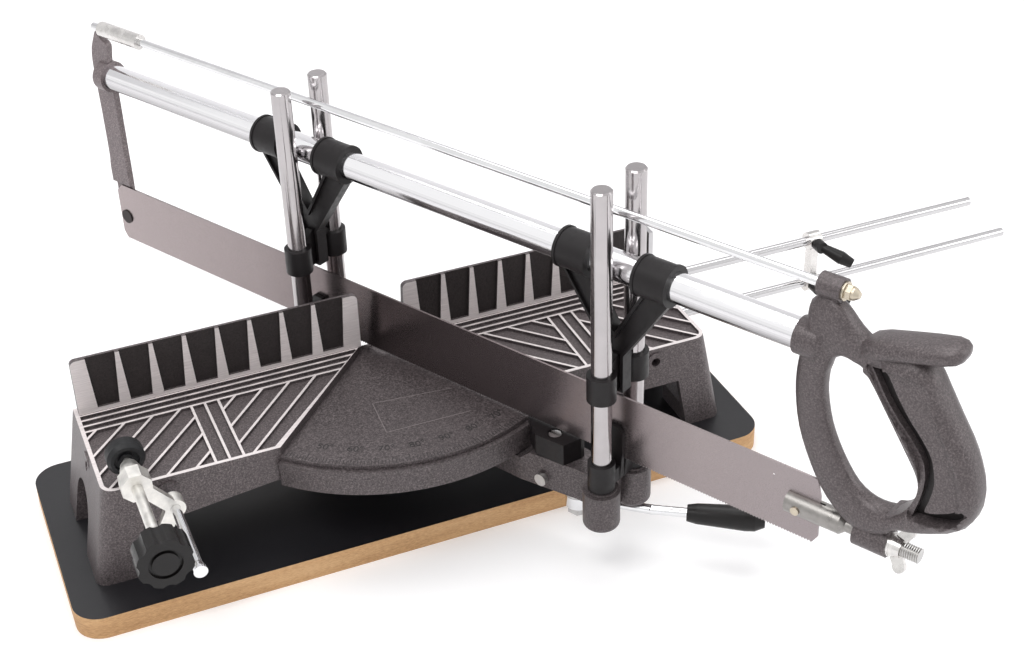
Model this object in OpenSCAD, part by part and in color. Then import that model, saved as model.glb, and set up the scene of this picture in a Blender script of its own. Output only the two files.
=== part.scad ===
// Manual mitre saw: a fixed ribbed table on a board, a swinging arm with four
// guide posts, and a tensioned frame saw that rides on two sliding carriers.
// X runs along the fence, Y to the back, Z up; the pivot stands over the origin.

/* [Board] */
// How far the base board reaches past each end's feet
board_margin = 17; // [14:0.5:35]
// Width of the base board, front to back
board_w = 157.5; // [150:0.5:180]
// Thickness of the base board
board_t = 15; // [10:0.5:25]
// How far the board's middle lies in front of the fence
board_shift = 29; // [26:0.5:31]
// Radius of the board's corners
board_corner_r = 17; // [4:1:30]

/* [Table] */
// Length of the table, end to end
table_l = 384; // [370:1:390]
// Depth of the table in front of the fence
table_front = 81; // [78:0.5:84]
// Height of the table's ribbed face above the board
table_h = 66; // [62:0.5:80]
// Spread of each end wall between the table face and its foot
leg_flare = 13; // [6:0.5:16]
// Width of each foot, along the fence
leg_w = 26; // [22:0.5:30]
// Depth of each front foot
leg_front_d = 34; // [28:0.5:38]
// Depth of each back foot
leg_back_d = 22; // [18:0.5:26]
// Thickness of the cast walls
wall_t = 4.5; // [3:0.5:6]
// Height of the front skirt next to the leg
skirt_h = 29; // [26:0.5:32]
// Height by which the skirt's lower edge rises towards the sector
skirt_rise = 6; // [4:0.5:8]
// Width of the thin raised ribs on the table
rib_w = 1.6; // [1.2:0.1:2.4]
// Depth of the painted recesses between the ribs
rib_h = 2; // [1:0.1:2.6]
// Distance between two slanting ribs, along the fence
rib_pitch = 17; // [14:0.5:20]
// Distance between the long ribs in front of the fence
rib_long_pitch = 6; // [4:0.25:7]
// Radius of the table's outer upright corners
table_corner_r = 8; // [6:0.5:11]

/* [Fence] */
// Height of the fence above the table
fence_h = 38.5; // [30:0.5:50]
// Thickness of the fence at its foot
fence_t = 9; // [7:0.5:11]
// Thickness of the fence along its top
fence_top_t = 3.6; // [3:0.1:6]
// Radius of the fence's top corners
fence_corner_r = 3.5; // [2:0.5:6]
// Length from the middle to the outer end of a fence half
fence_reach = 189.5; // [180:0.5:191]
// Half of the gap between the table halves at the fence
fence_gap_half = 13.5; // [12:0.5:16]
// Distance from the pivot to the left fence half
fence_gap_left = 11.5; // [11:0.5:16]
// Distance from the pivot to the right fence half
fence_gap_right = 18.5; // [11:0.5:20]
// Number of painted pockets in each fence half
pocket_n = 8; // [4:1:9]
// Depth of the painted pockets
pocket_d = 1.8; // [1:0.1:2.6]
// Width of the bright fin between two pockets, at its top
fin_top_w = 2.3; // [1.5:0.1:4]
// Width of the bright fin between two pockets, at its foot
fin_foot_w = 7; // [5:0.1:9]
// Width of the plain bright land at each end of a fence half
fence_land_w = 8; // [5:0.5:12]

/* [Sector] */
// Radius of the degree plate
plate_r = 120.5; // [119.5:0.25:122]
// How far the rim stands out past the plate
rim_w = 3.5; // [2.5:0.25:5]
// How far the plate lies below the table face
plate_drop = 5.5; // [4:0.25:6.5]
// How far the rim lies below the plate
rim_drop = 3; // [1.5:0.25:4]
// Height of the rim's outer wall
rim_h = 16.5; // [14:0.25:17]

/* [Swinging arm] */
// Angle of the arm from square, as it stands in the photograph
arm_angle = 28.7; // [0:0.1:36]
// Half of the arm's width
arm_half_w = 14; // [12:0.5:15]
// Height of the arm's side
arm_h = 16; // [13:0.5:18]
// Height of the step in the arm's top, past the rim
arm_step_h = 6; // [4:0.5:8]
// Gap between the arm's top and the rim above it
arm_clear = 1; // [0.5:0.25:3]
// Distance from the pivot to the front posts
front_post_s = 186.5; // [180:0.5:195]
// Distance from the pivot to the back posts
back_post_s = 48.5; // [46:0.5:55]
// Half of the distance between the two posts of a pair
post_half_gap = 15.5; // [15:0.25:18]
// Diameter of the guide posts
post_d = 12; // [10:0.5:12.5]
// Height of the front posts' tops above the bench
front_post_top = 257; // [250:1:290]
// Height of the back posts' tops above the bench
back_post_top = 248.5; // [244:0.5:290]
// Outside diameter of the bosses that hold the posts
boss_d = 22; // [19:0.5:24]

/* [Saw] */
// Length of the blade
blade_l = 562; // [552:1:575]
// Depth of the blade
blade_w = 43; // [38:0.5:44]
// Thickness of the blade
blade_t = 1.2; // [0.8:0.1:1.6]
// Distance from the pivot to the blade's front end
blade_front_s = 318.5; // [314:0.5:322]
// Diameter of the frame tube
tube_d = 17; // [15:0.5:18]
// Height of the tube's middle above the blade's teeth
tube_h = 127.5; // [124:0.5:132]
// Diameter of the tension rod
rod_d = 5; // [4:0.5:6]
// Height of the tension rod above the tube
rod_h = 33.5; // [31:0.5:36]
// Gap between the teeth and the degree plate, with the saw down
tooth_gap = 0.8; // [0.4:0.1:2]
// Length of the handle, from its front bar to the back of the grip
grip_l = 100; // [94:1:106]
// Half of the grip's thickness
grip_half_t = 13; // [11:0.5:14]

/* [Clamp] */
// Distance of the clamp rod from the table's end
clamp_rod_in = 36.5; // [32:0.5:42]
// Depth of the clamp rod below the table face
clamp_rod_drop = 9.5; // [8:0.5:12]
// Diameter of the clamp rod
clamp_rod_d = 6; // [5:0.5:8]
// Length of the clamp rod in front of the skirt
clamp_rod_l = 75; // [70:1:110]
// Height of the clamp spindle above the table face
spindle_h = 12.7; // [12:0.1:16]
// Sideways distance between the clamp rod and the spindle
spindle_x = 19; // [17:0.5:26]
// Diameter of the clamp spindle
spindle_d = 6.5; // [5.5:0.5:8]
// Diameter of the knob on the spindle
knob_d = 31; // [26:0.5:36]
// Diameter of the rubber pad
pad_d = 22; // [18:0.5:23]

/* [Length stop] */
// Distance of the stop rods in front of the fence
stop_y = 36; // [30:0.5:42]
// Depth of the fixed stop rail below the table face
rail_drop = 11; // [9:0.5:14]
// Distance between the two stop rods
stop_pitch = 32; // [28:0.5:40]
// Diameter of the stop rods
stop_d = 6; // [5:0.5:8]
// Distance from the middle of the table to the rail's outer end
rail_end_x = 449; // [420:1:480]
// Distance from the middle of the table to the stop rod's outer end
stop_end_x = 417; // [390:1:450]
// Distance from the middle of the table to the bent-up stop end
stop_face_x = 170; // [160:1:180]
// Distance from the middle of the table to the bracket
bracket_x = 294; // [260:1:330]

/* [Hidden] */

paint = "dimgray";
bright = "lightgray";
black = "#222222";
zinc = "#d8d4c8";
over = 1;
sector_start = 7;
fit = 0.05;
free_gap = 0.3;

table_z = board_t + table_h;
plate_z = table_z - plate_drop;
rim_z = plate_z - rim_drop;
rim_r = plate_r + rim_w;
rim_bottom_z = rim_z - rim_h;
half_l = table_l / 2;
foot_x = half_l + leg_flare;
board_l = 2 * (foot_x + board_margin);
clamp_rod_x = half_l - clamp_rod_in;
fence_top_z = table_z + fence_h;
sector_x = table_front + sector_start;
arm_top_z = rim_bottom_z - arm_clear;
arm_step_z = arm_top_z + arm_step_h;
arm_z = arm_top_z - arm_h;
teeth_z = plate_z + tooth_gap;
blade_top_z = teeth_z + blade_w;
tube_z = teeth_z + tube_h;
rod_z = tube_z + rod_h;
back_s = blade_front_s - blade_l;

// Places in the arm's own frame: x along the arm, y across it
module on_arm() {
    rotate([0, 0, arm_angle - 90]) children();
}

// A rod along x from one place to another
module rod_x(d, x0, x1, y, z) {
    translate([x0, y, z]) rotate([0, 90, 0]) cylinder(d = d, h = x1 - x0, $fn = 48);
}

// A rod along y from one place to another
module rod_y(d, y0, y1, x, z) {
    translate([x, y1, z]) rotate([90, 0, 0]) cylinder(d = d, h = y1 - y0, $fn = 48);
}

// Base board, with the screw holes from below
screw_d = 4;
screw_head_d = 8;
screw_head_h = 2.6;
screw_bite = 9;
screw_edge = 2;
foot_screw_x = foot_x - leg_w / 2 - screw_edge;
foot_screw_ys = [-table_front + leg_front_d / 2, fence_t - leg_back_d / 2];
foot_screws = [for (sx = [-1, 1], y = foot_screw_ys) [sx * foot_screw_x, y]];

module board_outline() {
    straight_l = board_l - 2 * board_corner_r;
    straight_w = board_w - 2 * board_corner_r;
    square([straight_l, board_w], center = true);
    square([board_l, straight_w], center = true);
    for (sx = [-1, 1], sy = [-1, 1])
        translate([sx * straight_l / 2, sy * straight_w / 2]) circle(r = board_corner_r, $fn = 64);
}

module base_board() {
    color("tan") difference() {
        translate([0, -board_shift, 0]) linear_extrude(board_t) board_outline();
        for (p = foot_screws) {
            translate([p[0], p[1], -over])
                cylinder(d = screw_d + 2 * free_gap, h = board_t + 2 * over, $fn = 24);
            translate([p[0], p[1], -over])
                cylinder(d = screw_head_d + 2 * free_gap, h = screw_head_h + over + free_gap, $fn = 24);
        }
    }
}

module base_screws() {
    color(bright) for (p = foot_screws) translate([p[0], p[1], free_gap]) {
        cylinder(d = screw_head_d, h = screw_head_h, $fn = 24);
        cylinder(d = screw_d, h = board_t + screw_bite, $fn = 24);
    }
}

// One half of the table, drawn for the left and mirrored for the right
module plan_left(inset, x_out) {
    polygon([
        [-x_out, -table_front + inset],
        [-sector_x - inset, -table_front + inset],
        [-fence_gap_half - inset, -inset],
        [-fence_gap_half - inset, fence_t - inset],
        [-x_out, fence_t - inset]
    ]);
}

// Front view of one half: table, sloping end wall and foot
skirt_run = leg_w / 4;
module end_profile() {
    polygon([
        [-half_l, table_z],
        [-foot_x, board_t],
        [-foot_x + leg_w, board_t],
        [-foot_x + leg_w + skirt_run, table_z - skirt_h],
        [-foot_x + 2 * leg_w + skirt_run, table_z - skirt_h],
        [-sector_x - skirt_run, table_z - skirt_h + skirt_rise],
        [-fence_gap_half, table_z - skirt_h + skirt_rise],
        [-fence_gap_half, table_z]
    ]);
}

module along_y(y0, y1) {
    translate([0, y1, 0]) rotate([90, 0, 0]) linear_extrude(y1 - y0) children();
}

module half_shell() {
    intersection() {
        along_y(-table_front, fence_t) end_profile();
        linear_extrude(table_z + over) plan_left(0, foot_x + over);
    }
}

// The hollow under the table is open below, so its cut runs past the feet
module half_hollow() {
    slope = leg_flare / table_h;
    x_top = half_l - wall_t;
    intersection() {
        along_y(-table_front + wall_t, fence_t - wall_t) polygon([
            [-x_top, table_z - wall_t],
            [-x_top - slope * (table_h - wall_t + over), board_t - over],
            [-fence_gap_half - wall_t, board_t - over],
            [-fence_gap_half - wall_t, table_z - wall_t]
        ]);
        linear_extrude(table_z) plan_left(wall_t, foot_x + over);
    }
}

// Arch through the end wall, between the front and the back foot
arch_top_z = board_t + table_h * 0.6;
module end_arch() {
    arch_y0 = -table_front + leg_front_d;
    arch_y1 = fence_t - leg_back_d;
    arch_mid = (arch_y0 + arch_y1) / 2;
    arch_half = (arch_y1 - arch_y0) / 2;
    translate([-foot_x - over, 0, 0]) rotate([90, 0, 90])
        linear_extrude(foot_x - half_l + wall_t + 2 * over) {
            translate([arch_mid, arch_top_z - arch_half]) circle(r = arch_half, $fn = 64);
            translate([arch_y0, board_t - over])
                square([2 * arch_half, arch_top_z - arch_half - board_t + over]);
        }
}

// Solid feet that the board's screws bite into
pad_h = 12;
module foot_pads() {
    intersection() {
        half_shell();
        translate([-foot_x, 0, 0]) {
            translate([0, -table_front, board_t]) cube([leg_w, leg_front_d, pad_h]);
            translate([0, fence_t - leg_back_d, board_t]) cube([leg_w, leg_back_d, pad_h]);
        }
    }
}

// Rounds the front corner of the end wall, down along the wall's slope
module corner_cut() {
    lean = atan2(leg_flare, table_h);
    reach = 2 * table_h;
    translate([-half_l, -table_front, table_z]) rotate([0, lean, 0])
        translate([0, 0, -reach + table_corner_r]) difference() {
            translate([-over, -over, 0]) cube([table_corner_r + over, table_corner_r + over, reach]);
            translate([table_corner_r, table_corner_r, -over])
                cylinder(r = table_corner_r, h = reach + 2 * over, $fn = 96);
        }
}

// Thin ribs: strips in three directions, kept inside the table's outline
rib_rim = 2.4;
rib_long_n = 3;
rib_mid_n = 3;
rib_mid_pitch = 8.3;
rib_mid_x = 117.4;

module strip(x, y, angle, len, w) {
    translate([x, y]) rotate(angle) translate([-len / 2, -w / 2]) square([len, w]);
}

module rib_zone() {
    y_top = -rib_long_n * rib_long_pitch - rib_w / 2;
    polygon([
        [-half_l, -table_front],
        [-sector_x, -table_front],
        [-fence_gap_half + y_top / table_front * (sector_x - fence_gap_half), y_top],
        [-half_l, y_top]
    ]);
}

module rib_lines() {
    lean = atan2(table_front, sector_x - fence_gap_half);
    edge_mid_x = (sector_x + fence_gap_half) / 2;
    rib_n = ceil(table_l / rib_pitch);
    band = (rib_mid_n - 1) * rib_mid_pitch;
    for (k = [1:rib_long_n])
        strip(-half_l / 2, -k * rib_long_pitch, 0, table_l, rib_w);
    intersection() {
        rib_zone();
        union() {
            for (k = [0:rib_mid_n - 1])
                strip(-rib_mid_x - band / 2 + k * rib_mid_pitch, -table_front / 2, 90, table_l, rib_w);
            difference() {
                for (k = [1:rib_n])
                    strip(-edge_mid_x - k * rib_pitch, -table_front / 2, lean, table_l, rib_w);
                translate([-rib_mid_x - band / 2, -table_front]) square([band, table_front]);
            }
        }
    }
}

module rib_floor_plan() {
    corner = table_corner_r - rib_rim;
    difference() {
        intersection() {
            plan_left(rib_rim, half_l - rib_rim);
            translate([-half_l, -table_front]) square([half_l, table_front - rib_rim / 2]);
        }
        rib_lines();
        translate([-half_l + rib_rim, -table_front + rib_rim]) difference() {
            translate([-over, -over]) square([corner + over, corner + over]);
            translate([corner, corner]) circle(r = corner, $fn = 64);
        }
    }
}

clamp_z = table_z - clamp_rod_drop;
rail_z = table_z - rail_drop;
rod_boss_d = 13;
rod_boss_proud = 1;
rod_socket = 2 * wall_t;
rail_boss_d = 18;
rail_socket = 22;

module table_half() {
    difference() {
        union() {
            difference() {
                half_shell();
                half_hollow();
                end_arch();
            }
            foot_pads();
            rod_y(rod_boss_d, -table_front - rod_boss_proud, -table_front + rod_socket, -clamp_rod_x, clamp_z);
            rod_x(rail_boss_d, -half_l - rib_w, -half_l + rail_socket, -stop_y, rail_z);
        }
        corner_cut();
        translate([0, 0, table_z - rib_h]) linear_extrude(rib_h + over) rib_floor_plan();
        rod_y(clamp_rod_d + 2 * fit, -table_front - rod_boss_proud - over, -table_front + rod_socket + over,
              -clamp_rod_x, clamp_z);
        rod_x(stop_d + 2 * fit, -foot_x, -half_l + rail_socket + over, -stop_y, rail_z);
        for (y = foot_screw_ys) translate([-foot_screw_x, y, board_t - over])
            cylinder(d = screw_d + 2 * fit, h = pad_h - over, $fn = 24);
    }
}

module table_left() {
    color(paint) table_half();
}

module table_right() {
    color(paint) mirror([1, 0, 0]) table_half();
}

// Fence half: a plate that thins towards its top, with open-topped pockets between tapering fins
pocket_foot_h = 3;
module fence_outline(gap_x) {
    len = fence_reach - gap_x;
    translate([-fence_reach, table_z]) {
        square([len, fence_h - fence_corner_r]);
        translate([fence_corner_r, 0]) square([len - 2 * fence_corner_r, fence_h]);
        for (x = [fence_corner_r, len - fence_corner_r])
            translate([x, fence_h - fence_corner_r]) circle(r = fence_corner_r, $fn = 48);
    }
}

module fence_half(gap_x) {
    pocket_pitch = (fence_reach - gap_x - 2 * fence_land_w) / pocket_n;
    top_half = (pocket_pitch - fin_top_w) / 2;
    foot_half = (pocket_pitch - fin_foot_w) / 2;
    difference() {
        intersection() {
            along_y(0, fence_t) fence_outline(gap_x);
            translate([-fence_reach - over, 0, 0]) rotate([90, 0, 90]) linear_extrude(fence_reach) polygon([
                [0, table_z],
                [fence_t, table_z],
                [fence_top_t, fence_top_z],
                [0, fence_top_z]
            ]);
        }
        for (k = [0:pocket_n - 1]) {
            xc = -gap_x - fence_land_w - (k + 0.5) * pocket_pitch;
            along_y(-over, pocket_d) polygon([
                [xc - foot_half, table_z + pocket_foot_h],
                [xc + foot_half, table_z + pocket_foot_h],
                [xc + top_half, fence_top_z + over],
                [xc - top_half, fence_top_z + over]
            ]);
        }
    }
}

module fence_left() {
    color(paint) fence_half(fence_gap_left);
}

module fence_right() {
    color(paint) mirror([1, 0, 0]) fence_half(fence_gap_right);
}

// Degree plate with its rim and the pivot boss; its straight edges meet the table halves
pivot_d = 10;
pivot_boss_d = 26;
pivot_head_d = 15;
pivot_head_h = 3;
pivot_head_sink = 1;
pivot_nut_h = 6;
pivot_nut_d = 18;
plate_t = 5;
rim_step = 0.8;
module wedge() {
    far = 2 * rim_r / table_front;
    near_x = fence_gap_half - fit / 2;
    far_x = near_x + far * (sector_x - fence_gap_half);
    polygon([
        [-near_x, fence_t],
        [-near_x, 0],
        [-far_x, -far * table_front],
        [far_x, -far * table_front],
        [near_x, 0],
        [near_x, fence_t]
    ]);
}

module sector_slab(r0, r1, z0, z1) {
    translate([0, 0, z0]) linear_extrude(z1 - z0) intersection() {
        difference() {
            circle(r = r1, $fn = 128);
            if (r0 > 0) circle(r = r0, $fn = 128);
        }
        wedge();
    }
}

module sector() {
    color(paint) difference() {
        union() {
            sector_slab(0, plate_r, plate_z - plate_t, plate_z);
            sector_slab(rim_r - wall_t, rim_r, rim_z - rim_h / 3, rim_z);
            sector_slab(rim_r - wall_t, rim_r - rim_step, rim_bottom_z, rim_z);
            translate([0, 0, arm_top_z + free_gap])
                cylinder(d = pivot_boss_d, h = plate_z - plate_t / 2 - arm_top_z, $fn = 48);
        }
        translate([0, 0, arm_top_z]) cylinder(d = pivot_d + 2 * fit, h = plate_z, $fn = 48);
        translate([0, 0, plate_z - pivot_head_sink - pivot_head_h])
            cylinder(d = pivot_head_d + 2 * fit, h = plate_z, $fn = 48);
    }
}

// Pivot bolt through the deck and the arm, with its nut below
module pivot_bolt() {
    z0 = arm_z - pivot_nut_h - pivot_head_sink;
    head_z = plate_z - pivot_head_sink - pivot_head_h;
    color(bright) {
        translate([0, 0, z0]) cylinder(d = pivot_d, h = head_z - z0, $fn = 48);
        translate([0, 0, head_z]) cylinder(d = pivot_head_d, h = pivot_head_h, $fn = 48);
    }
}

module pivot_nut() {
    color(zinc) translate([0, 0, arm_z - pivot_nut_h - free_gap]) difference() {
        cylinder(d = pivot_nut_d, h = pivot_nut_h, $fn = 6);
        translate([0, 0, -over]) cylinder(d = pivot_d + 2 * fit, h = pivot_nut_h + 2 * over, $fn = 48);
    }
}

// Swinging arm: a ribbed channel with a round hub and four post bosses
hub_d = 46;
arm_wall = 4;
arm_step_s = rim_r + arm_clear;
ramp_l = 7;
boss_drop = 3.5;
boss_step_h = 1.6;
boss_step_d = boss_d - 2.5 * boss_step_h;
boss_bottom_z = arm_z - boss_drop;
lock_s = 158;
stud_d = 8;
stop_screw_s = 141.8;
stop_screw_d = 5;

module arm_side(lift) {
    translate([0, 2 * arm_half_w, 0]) rotate([90, 0, 0]) linear_extrude(4 * arm_half_w) polygon([
        [-back_post_s - boss_d, arm_z - over],
        [front_post_s + boss_d, arm_z - over],
        [front_post_s + boss_d, arm_step_z - lift],
        [arm_step_s + ramp_l, arm_step_z - lift],
        [arm_step_s, arm_top_z - lift],
        [-back_post_s - boss_d, arm_top_z - lift]
    ]);
}

module arm_plan(inset) {
    waist = arm_half_w - wall_t;
    polygon([
        [-back_post_s + inset, -arm_half_w + inset],
        [-hub_d / 2, -arm_half_w + inset],
        [hub_d / 2, -arm_half_w + inset],
        [arm_step_s, -arm_half_w + inset],
        [front_post_s - boss_d, -waist + inset],
        [front_post_s - inset, -waist + inset],
        [front_post_s - inset, waist - inset],
        [front_post_s - boss_d, waist - inset],
        [arm_step_s, arm_half_w - inset],
        [-back_post_s + inset, arm_half_w - inset]
    ]);
}

module post_boss(s, w, z1) {
    round_r = boss_drop;
    translate([s, w, boss_bottom_z]) rotate_extrude($fn = 64) difference() {
        square([boss_d / 2, z1 - boss_bottom_z]);
        difference() {
            translate([boss_d / 2 - round_r, -over]) square([round_r + over, round_r + over]);
            translate([boss_d / 2 - round_r, round_r]) circle(r = round_r, $fn = 48);
        }
    }
}

module arm_casting() {
    color(paint) on_arm() difference() {
        union() {
            intersection() {
                arm_side(0);
                translate([0, 0, arm_z]) linear_extrude(table_h) {
                    arm_plan(0);
                    circle(d = hub_d, $fn = 64);
                }
            }
            for (side = [-1, 1]) {
                post_boss(front_post_s, side * post_half_gap, arm_step_z);
                post_boss(-back_post_s, side * post_half_gap, arm_top_z);
                translate([front_post_s, side * post_half_gap, arm_step_z - over])
                    cylinder(d = boss_step_d, h = over + boss_step_h, $fn = 48);
            }
        }
        difference() {
            intersection() {
                arm_side(arm_wall);
                translate([0, 0, arm_z - over]) linear_extrude(table_h) {
                    arm_plan(arm_wall);
                    circle(d = hub_d - 2 * arm_wall, $fn = 64);
                }
            }
            translate([0, 0, arm_z - 2 * over]) cylinder(d = pivot_boss_d, h = table_h, $fn = 48);
            translate([lock_s, 0, arm_z - 2 * over]) cylinder(d = 2 * stud_d, h = table_h, $fn = 48);
            translate([index_s, index_w, arm_z - 2 * over]) cylinder(d = 2 * index_screw_d, h = table_h, $fn = 32);
            for (side = [-1, 1]) {
                translate([front_post_s, side * post_half_gap, arm_z - 2 * over])
                    cylinder(d = boss_d, h = table_h, $fn = 64);
                translate([-back_post_s, side * post_half_gap, arm_z - 2 * over])
                    cylinder(d = boss_d, h = table_h, $fn = 64);
            }
        }
        translate([0, 0, arm_z - over]) cylinder(d = pivot_d + 2 * fit, h = table_h, $fn = 48);
        for (side = [-1, 1]) {
            translate([front_post_s, side * post_half_gap, boss_bottom_z + arm_wall])
                cylinder(d = post_d + 2 * fit, h = table_h, $fn = 48);
            translate([-back_post_s, side * post_half_gap, boss_bottom_z + arm_wall])
                cylinder(d = post_d + 2 * fit, h = table_h, $fn = 48);
        }
        translate([lock_s, 0, arm_z - over]) cylinder(d = stud_d + 2 * fit, h = over + arm_wall * 3, $fn = 48);
        translate([index_s, index_w, arm_step_z - index_thread_l])
            cylinder(d = index_screw_d + 2 * fit, h = table_h, $fn = 24);
        translate([stop_screw_s, -arm_half_w - over, arm_z + arm_h / 2]) rotate([-90, 0, 0])
            cylinder(d = stop_screw_d + 2 * fit, h = arm_wall + 2 * over, $fn = 24);
    }
}

// Guide posts, pressed into the arm's bosses
post_chamfer = 0.8;
module post(s, w, z1) {
    z0 = boss_bottom_z + arm_wall;
    on_arm() translate([s, w, 0]) {
        translate([0, 0, z0]) cylinder(d = post_d, h = z1 - post_chamfer - z0, $fn = 64);
        translate([0, 0, z1 - post_chamfer])
            cylinder(d1 = post_d, d2 = post_d - 2 * post_chamfer, h = post_chamfer, $fn = 64);
    }
}

module front_left_post() {
    color(bright) post(front_post_s, -post_half_gap, front_post_top);
}

module front_right_post() {
    color(bright) post(front_post_s, post_half_gap, front_post_top);
}

module back_left_post() {
    color(bright) post(-back_post_s, -post_half_gap, back_post_top);
}

module back_right_post() {
    color(bright) post(-back_post_s, post_half_gap, back_post_top);
}

// Blade guides: two collars on a bridge, with a pair of fins that the blade runs between
collar_d = 16;
collar_h = 18;
fin_t = 2.6;
fin_gap = 0.4;
fin_l = 6;
guide_lift = 2;
guide_drop = 20;
bridge_t = 9;
module guide(s, z0, side) {
    bridge_top = teeth_z - 2 * guide_lift;
    fin_h = blade_top_z - guide_drop - z0;
    on_arm() translate([s, 0, 0]) difference() {
        union() {
            for (w = [-post_half_gap, post_half_gap])
                translate([0, w, z0]) cylinder(d = collar_d, h = collar_h, $fn = 64);
            translate([-bridge_t / 2, -post_half_gap, z0]) cube([bridge_t, 2 * post_half_gap, bridge_top - z0]);
            for (w = [-1, 1]) translate([0, w * (blade_t / 2 + fin_gap + fin_t / 2), z0])
                rotate([90, 0, 0]) translate([0, 0, -fin_t / 2]) linear_extrude(fin_t) polygon([
                    [-side * bridge_t / 2, 0],
                    [side * bridge_t / 2, 0],
                    [side * fin_l, collar_h],
                    [side * fin_l, fin_h - fin_l / 2],
                    [side * fin_l / 2, fin_h],
                    [-side * bridge_t / 2, fin_h]
                ]);
        }
        for (w = [-post_half_gap, post_half_gap])
            translate([0, w, z0 - over]) cylinder(d = post_d + 2 * fit, h = collar_h + 2 * over, $fn = 64);
    }
}

module front_guide() {
    color(black) guide(front_post_s, arm_step_z + boss_step_h + free_gap, 1);
}

module back_guide() {
    color(black) guide(-back_post_s, arm_top_z + free_gap, -1);
}

// Index block: its nose points at the plate's edge from above the rim
index_s = 144;
index_w = -3.7;
index_gap = 1.2;
index_nose_l = 14;
index_body_l = 24;
index_out_w = 12;
index_in_w = 4;
index_tip_w = 1;
index_recess_d = 9;
index_screw_d = 4;
index_screw_head_d = 7.5;
index_screw_head_h = 3;
index_screw_sink = 0.6;
index_thread_l = 9;
index_floor_z = plate_z - index_screw_head_h - index_screw_sink;
module index_outline() {
    tip_s = plate_r + index_gap;
    body_s = tip_s + index_nose_l;
    polygon([
        [tip_s, -index_tip_w],
        [body_s, -index_out_w],
        [body_s + index_body_l - index_in_w, -index_out_w + index_tip_w],
        [body_s + index_body_l, index_tip_w],
        [body_s + index_body_l, index_in_w],
        [body_s, index_in_w],
        [tip_s, index_tip_w]
    ]);
}

module index_block() {
    color(black) on_arm() difference() {
        union() {
            translate([0, 0, rim_z + index_screw_sink]) linear_extrude(plate_z - rim_z - index_screw_sink)
                index_outline();
            translate([0, 0, arm_step_z]) linear_extrude(plate_z - arm_step_z) intersection() {
                index_outline();
                translate([rim_r + index_gap, -index_s]) square([index_s, 2 * index_s]);
            }
        }
        translate([index_s, index_w, index_floor_z])
            cylinder(d = index_recess_d, h = table_h, $fn = 32);
        translate([index_s, index_w, arm_step_z - over])
            cylinder(d = index_screw_d + 2 * fit, h = table_h, $fn = 24);
    }
}

module index_screw() {
    slot_w = index_screw_head_d / 6;
    color(bright) on_arm() translate([index_s, index_w, 0]) difference() {
        union() {
            translate([0, 0, arm_step_z - index_thread_l + free_gap])
                cylinder(d = index_screw_d, h = index_floor_z - arm_step_z + index_thread_l, $fn = 24);
            translate([0, 0, index_floor_z]) cylinder(d = index_screw_head_d, h = index_screw_head_h, $fn = 32);
        }
        translate([-index_screw_head_d, -slot_w / 2, index_floor_z + index_screw_head_h / 2])
            cube([2 * index_screw_head_d, slot_w, index_screw_head_h]);
    }
}

module arm_stop_screw() {
    head_d = 1.6 * stop_screw_d;
    head_h = stop_screw_d / 2;
    color(bright) on_arm() translate([stop_screw_s, -arm_half_w - head_h, arm_z + arm_h / 2])
        rotate([-90, 0, 0]) {
            cylinder(d = head_d, h = head_h, $fn = 32);
            cylinder(d = stop_screw_d, h = head_h + arm_wall, $fn = 24);
        }
}

// Lock lever under the arm: a bent rod with a grip, turning on a threaded stud
lever_d = 6;
lever_hub_d = 16;
lever_hub_h = 8;
lever_gap = 1;
lever_z = boss_bottom_z - lever_gap - lever_d / 2;
lever_bend_s = 200;
lever_bend_w = 16.5;
lever_tip_s = 259;
lever_tip_w = 48.5;
lever_grip_l = 46;
lever_grip_d = 15.5;
stud_nut_h = 5;
lever_a1 = atan2(lever_bend_w, lever_bend_s - lock_s);
lever_l1 = norm([lever_bend_w, lever_bend_s - lock_s]);
lever_a2 = atan2(lever_tip_w - lever_bend_w, lever_tip_s - lever_bend_s);
lever_l2 = norm([lever_tip_w - lever_bend_w, lever_tip_s - lever_bend_s]);
lever_hub_z = lever_z - lever_hub_h / 2;

module lock_stud() {
    color(bright) on_arm() translate([lock_s, 0, 0]) {
        translate([0, 0, lever_hub_z - stud_nut_h - lever_gap])
            cylinder(d = stud_d, h = arm_z + 2 * arm_wall - lever_hub_z + stud_nut_h + lever_gap, $fn = 48);
        translate([0, 0, lever_hub_z - stud_nut_h - free_gap / 2])
            cylinder(d = 1.7 * stud_d, h = stud_nut_h - free_gap / 2, $fn = 6);
        translate([0, 0, lever_hub_z + lever_hub_h + free_gap])
            cylinder(d = lever_hub_d, h = arm_z - lever_hub_z - lever_hub_h - free_gap, $fn = 48);
    }
}

module lock_lever() {
    color(bright) on_arm() translate([lock_s, 0, lever_z]) difference() {
        union() {
            translate([0, 0, -lever_hub_h / 2]) cylinder(d = lever_hub_d, h = lever_hub_h, $fn = 48);
            rotate([0, 90, lever_a1]) cylinder(d = lever_d, h = lever_l1, $fn = 32);
            translate([lever_bend_s - lock_s, lever_bend_w, 0]) {
                sphere(d = lever_d + free_gap, $fn = 32);
                rotate([0, 90, lever_a2]) cylinder(d = lever_d, h = lever_l2 - lever_grip_d / 2, $fn = 32);
            }
        }
        translate([0, 0, -lever_hub_h]) cylinder(d = stud_d + 2 * fit, h = 2 * lever_hub_h, $fn = 48);
    }
}

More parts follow.
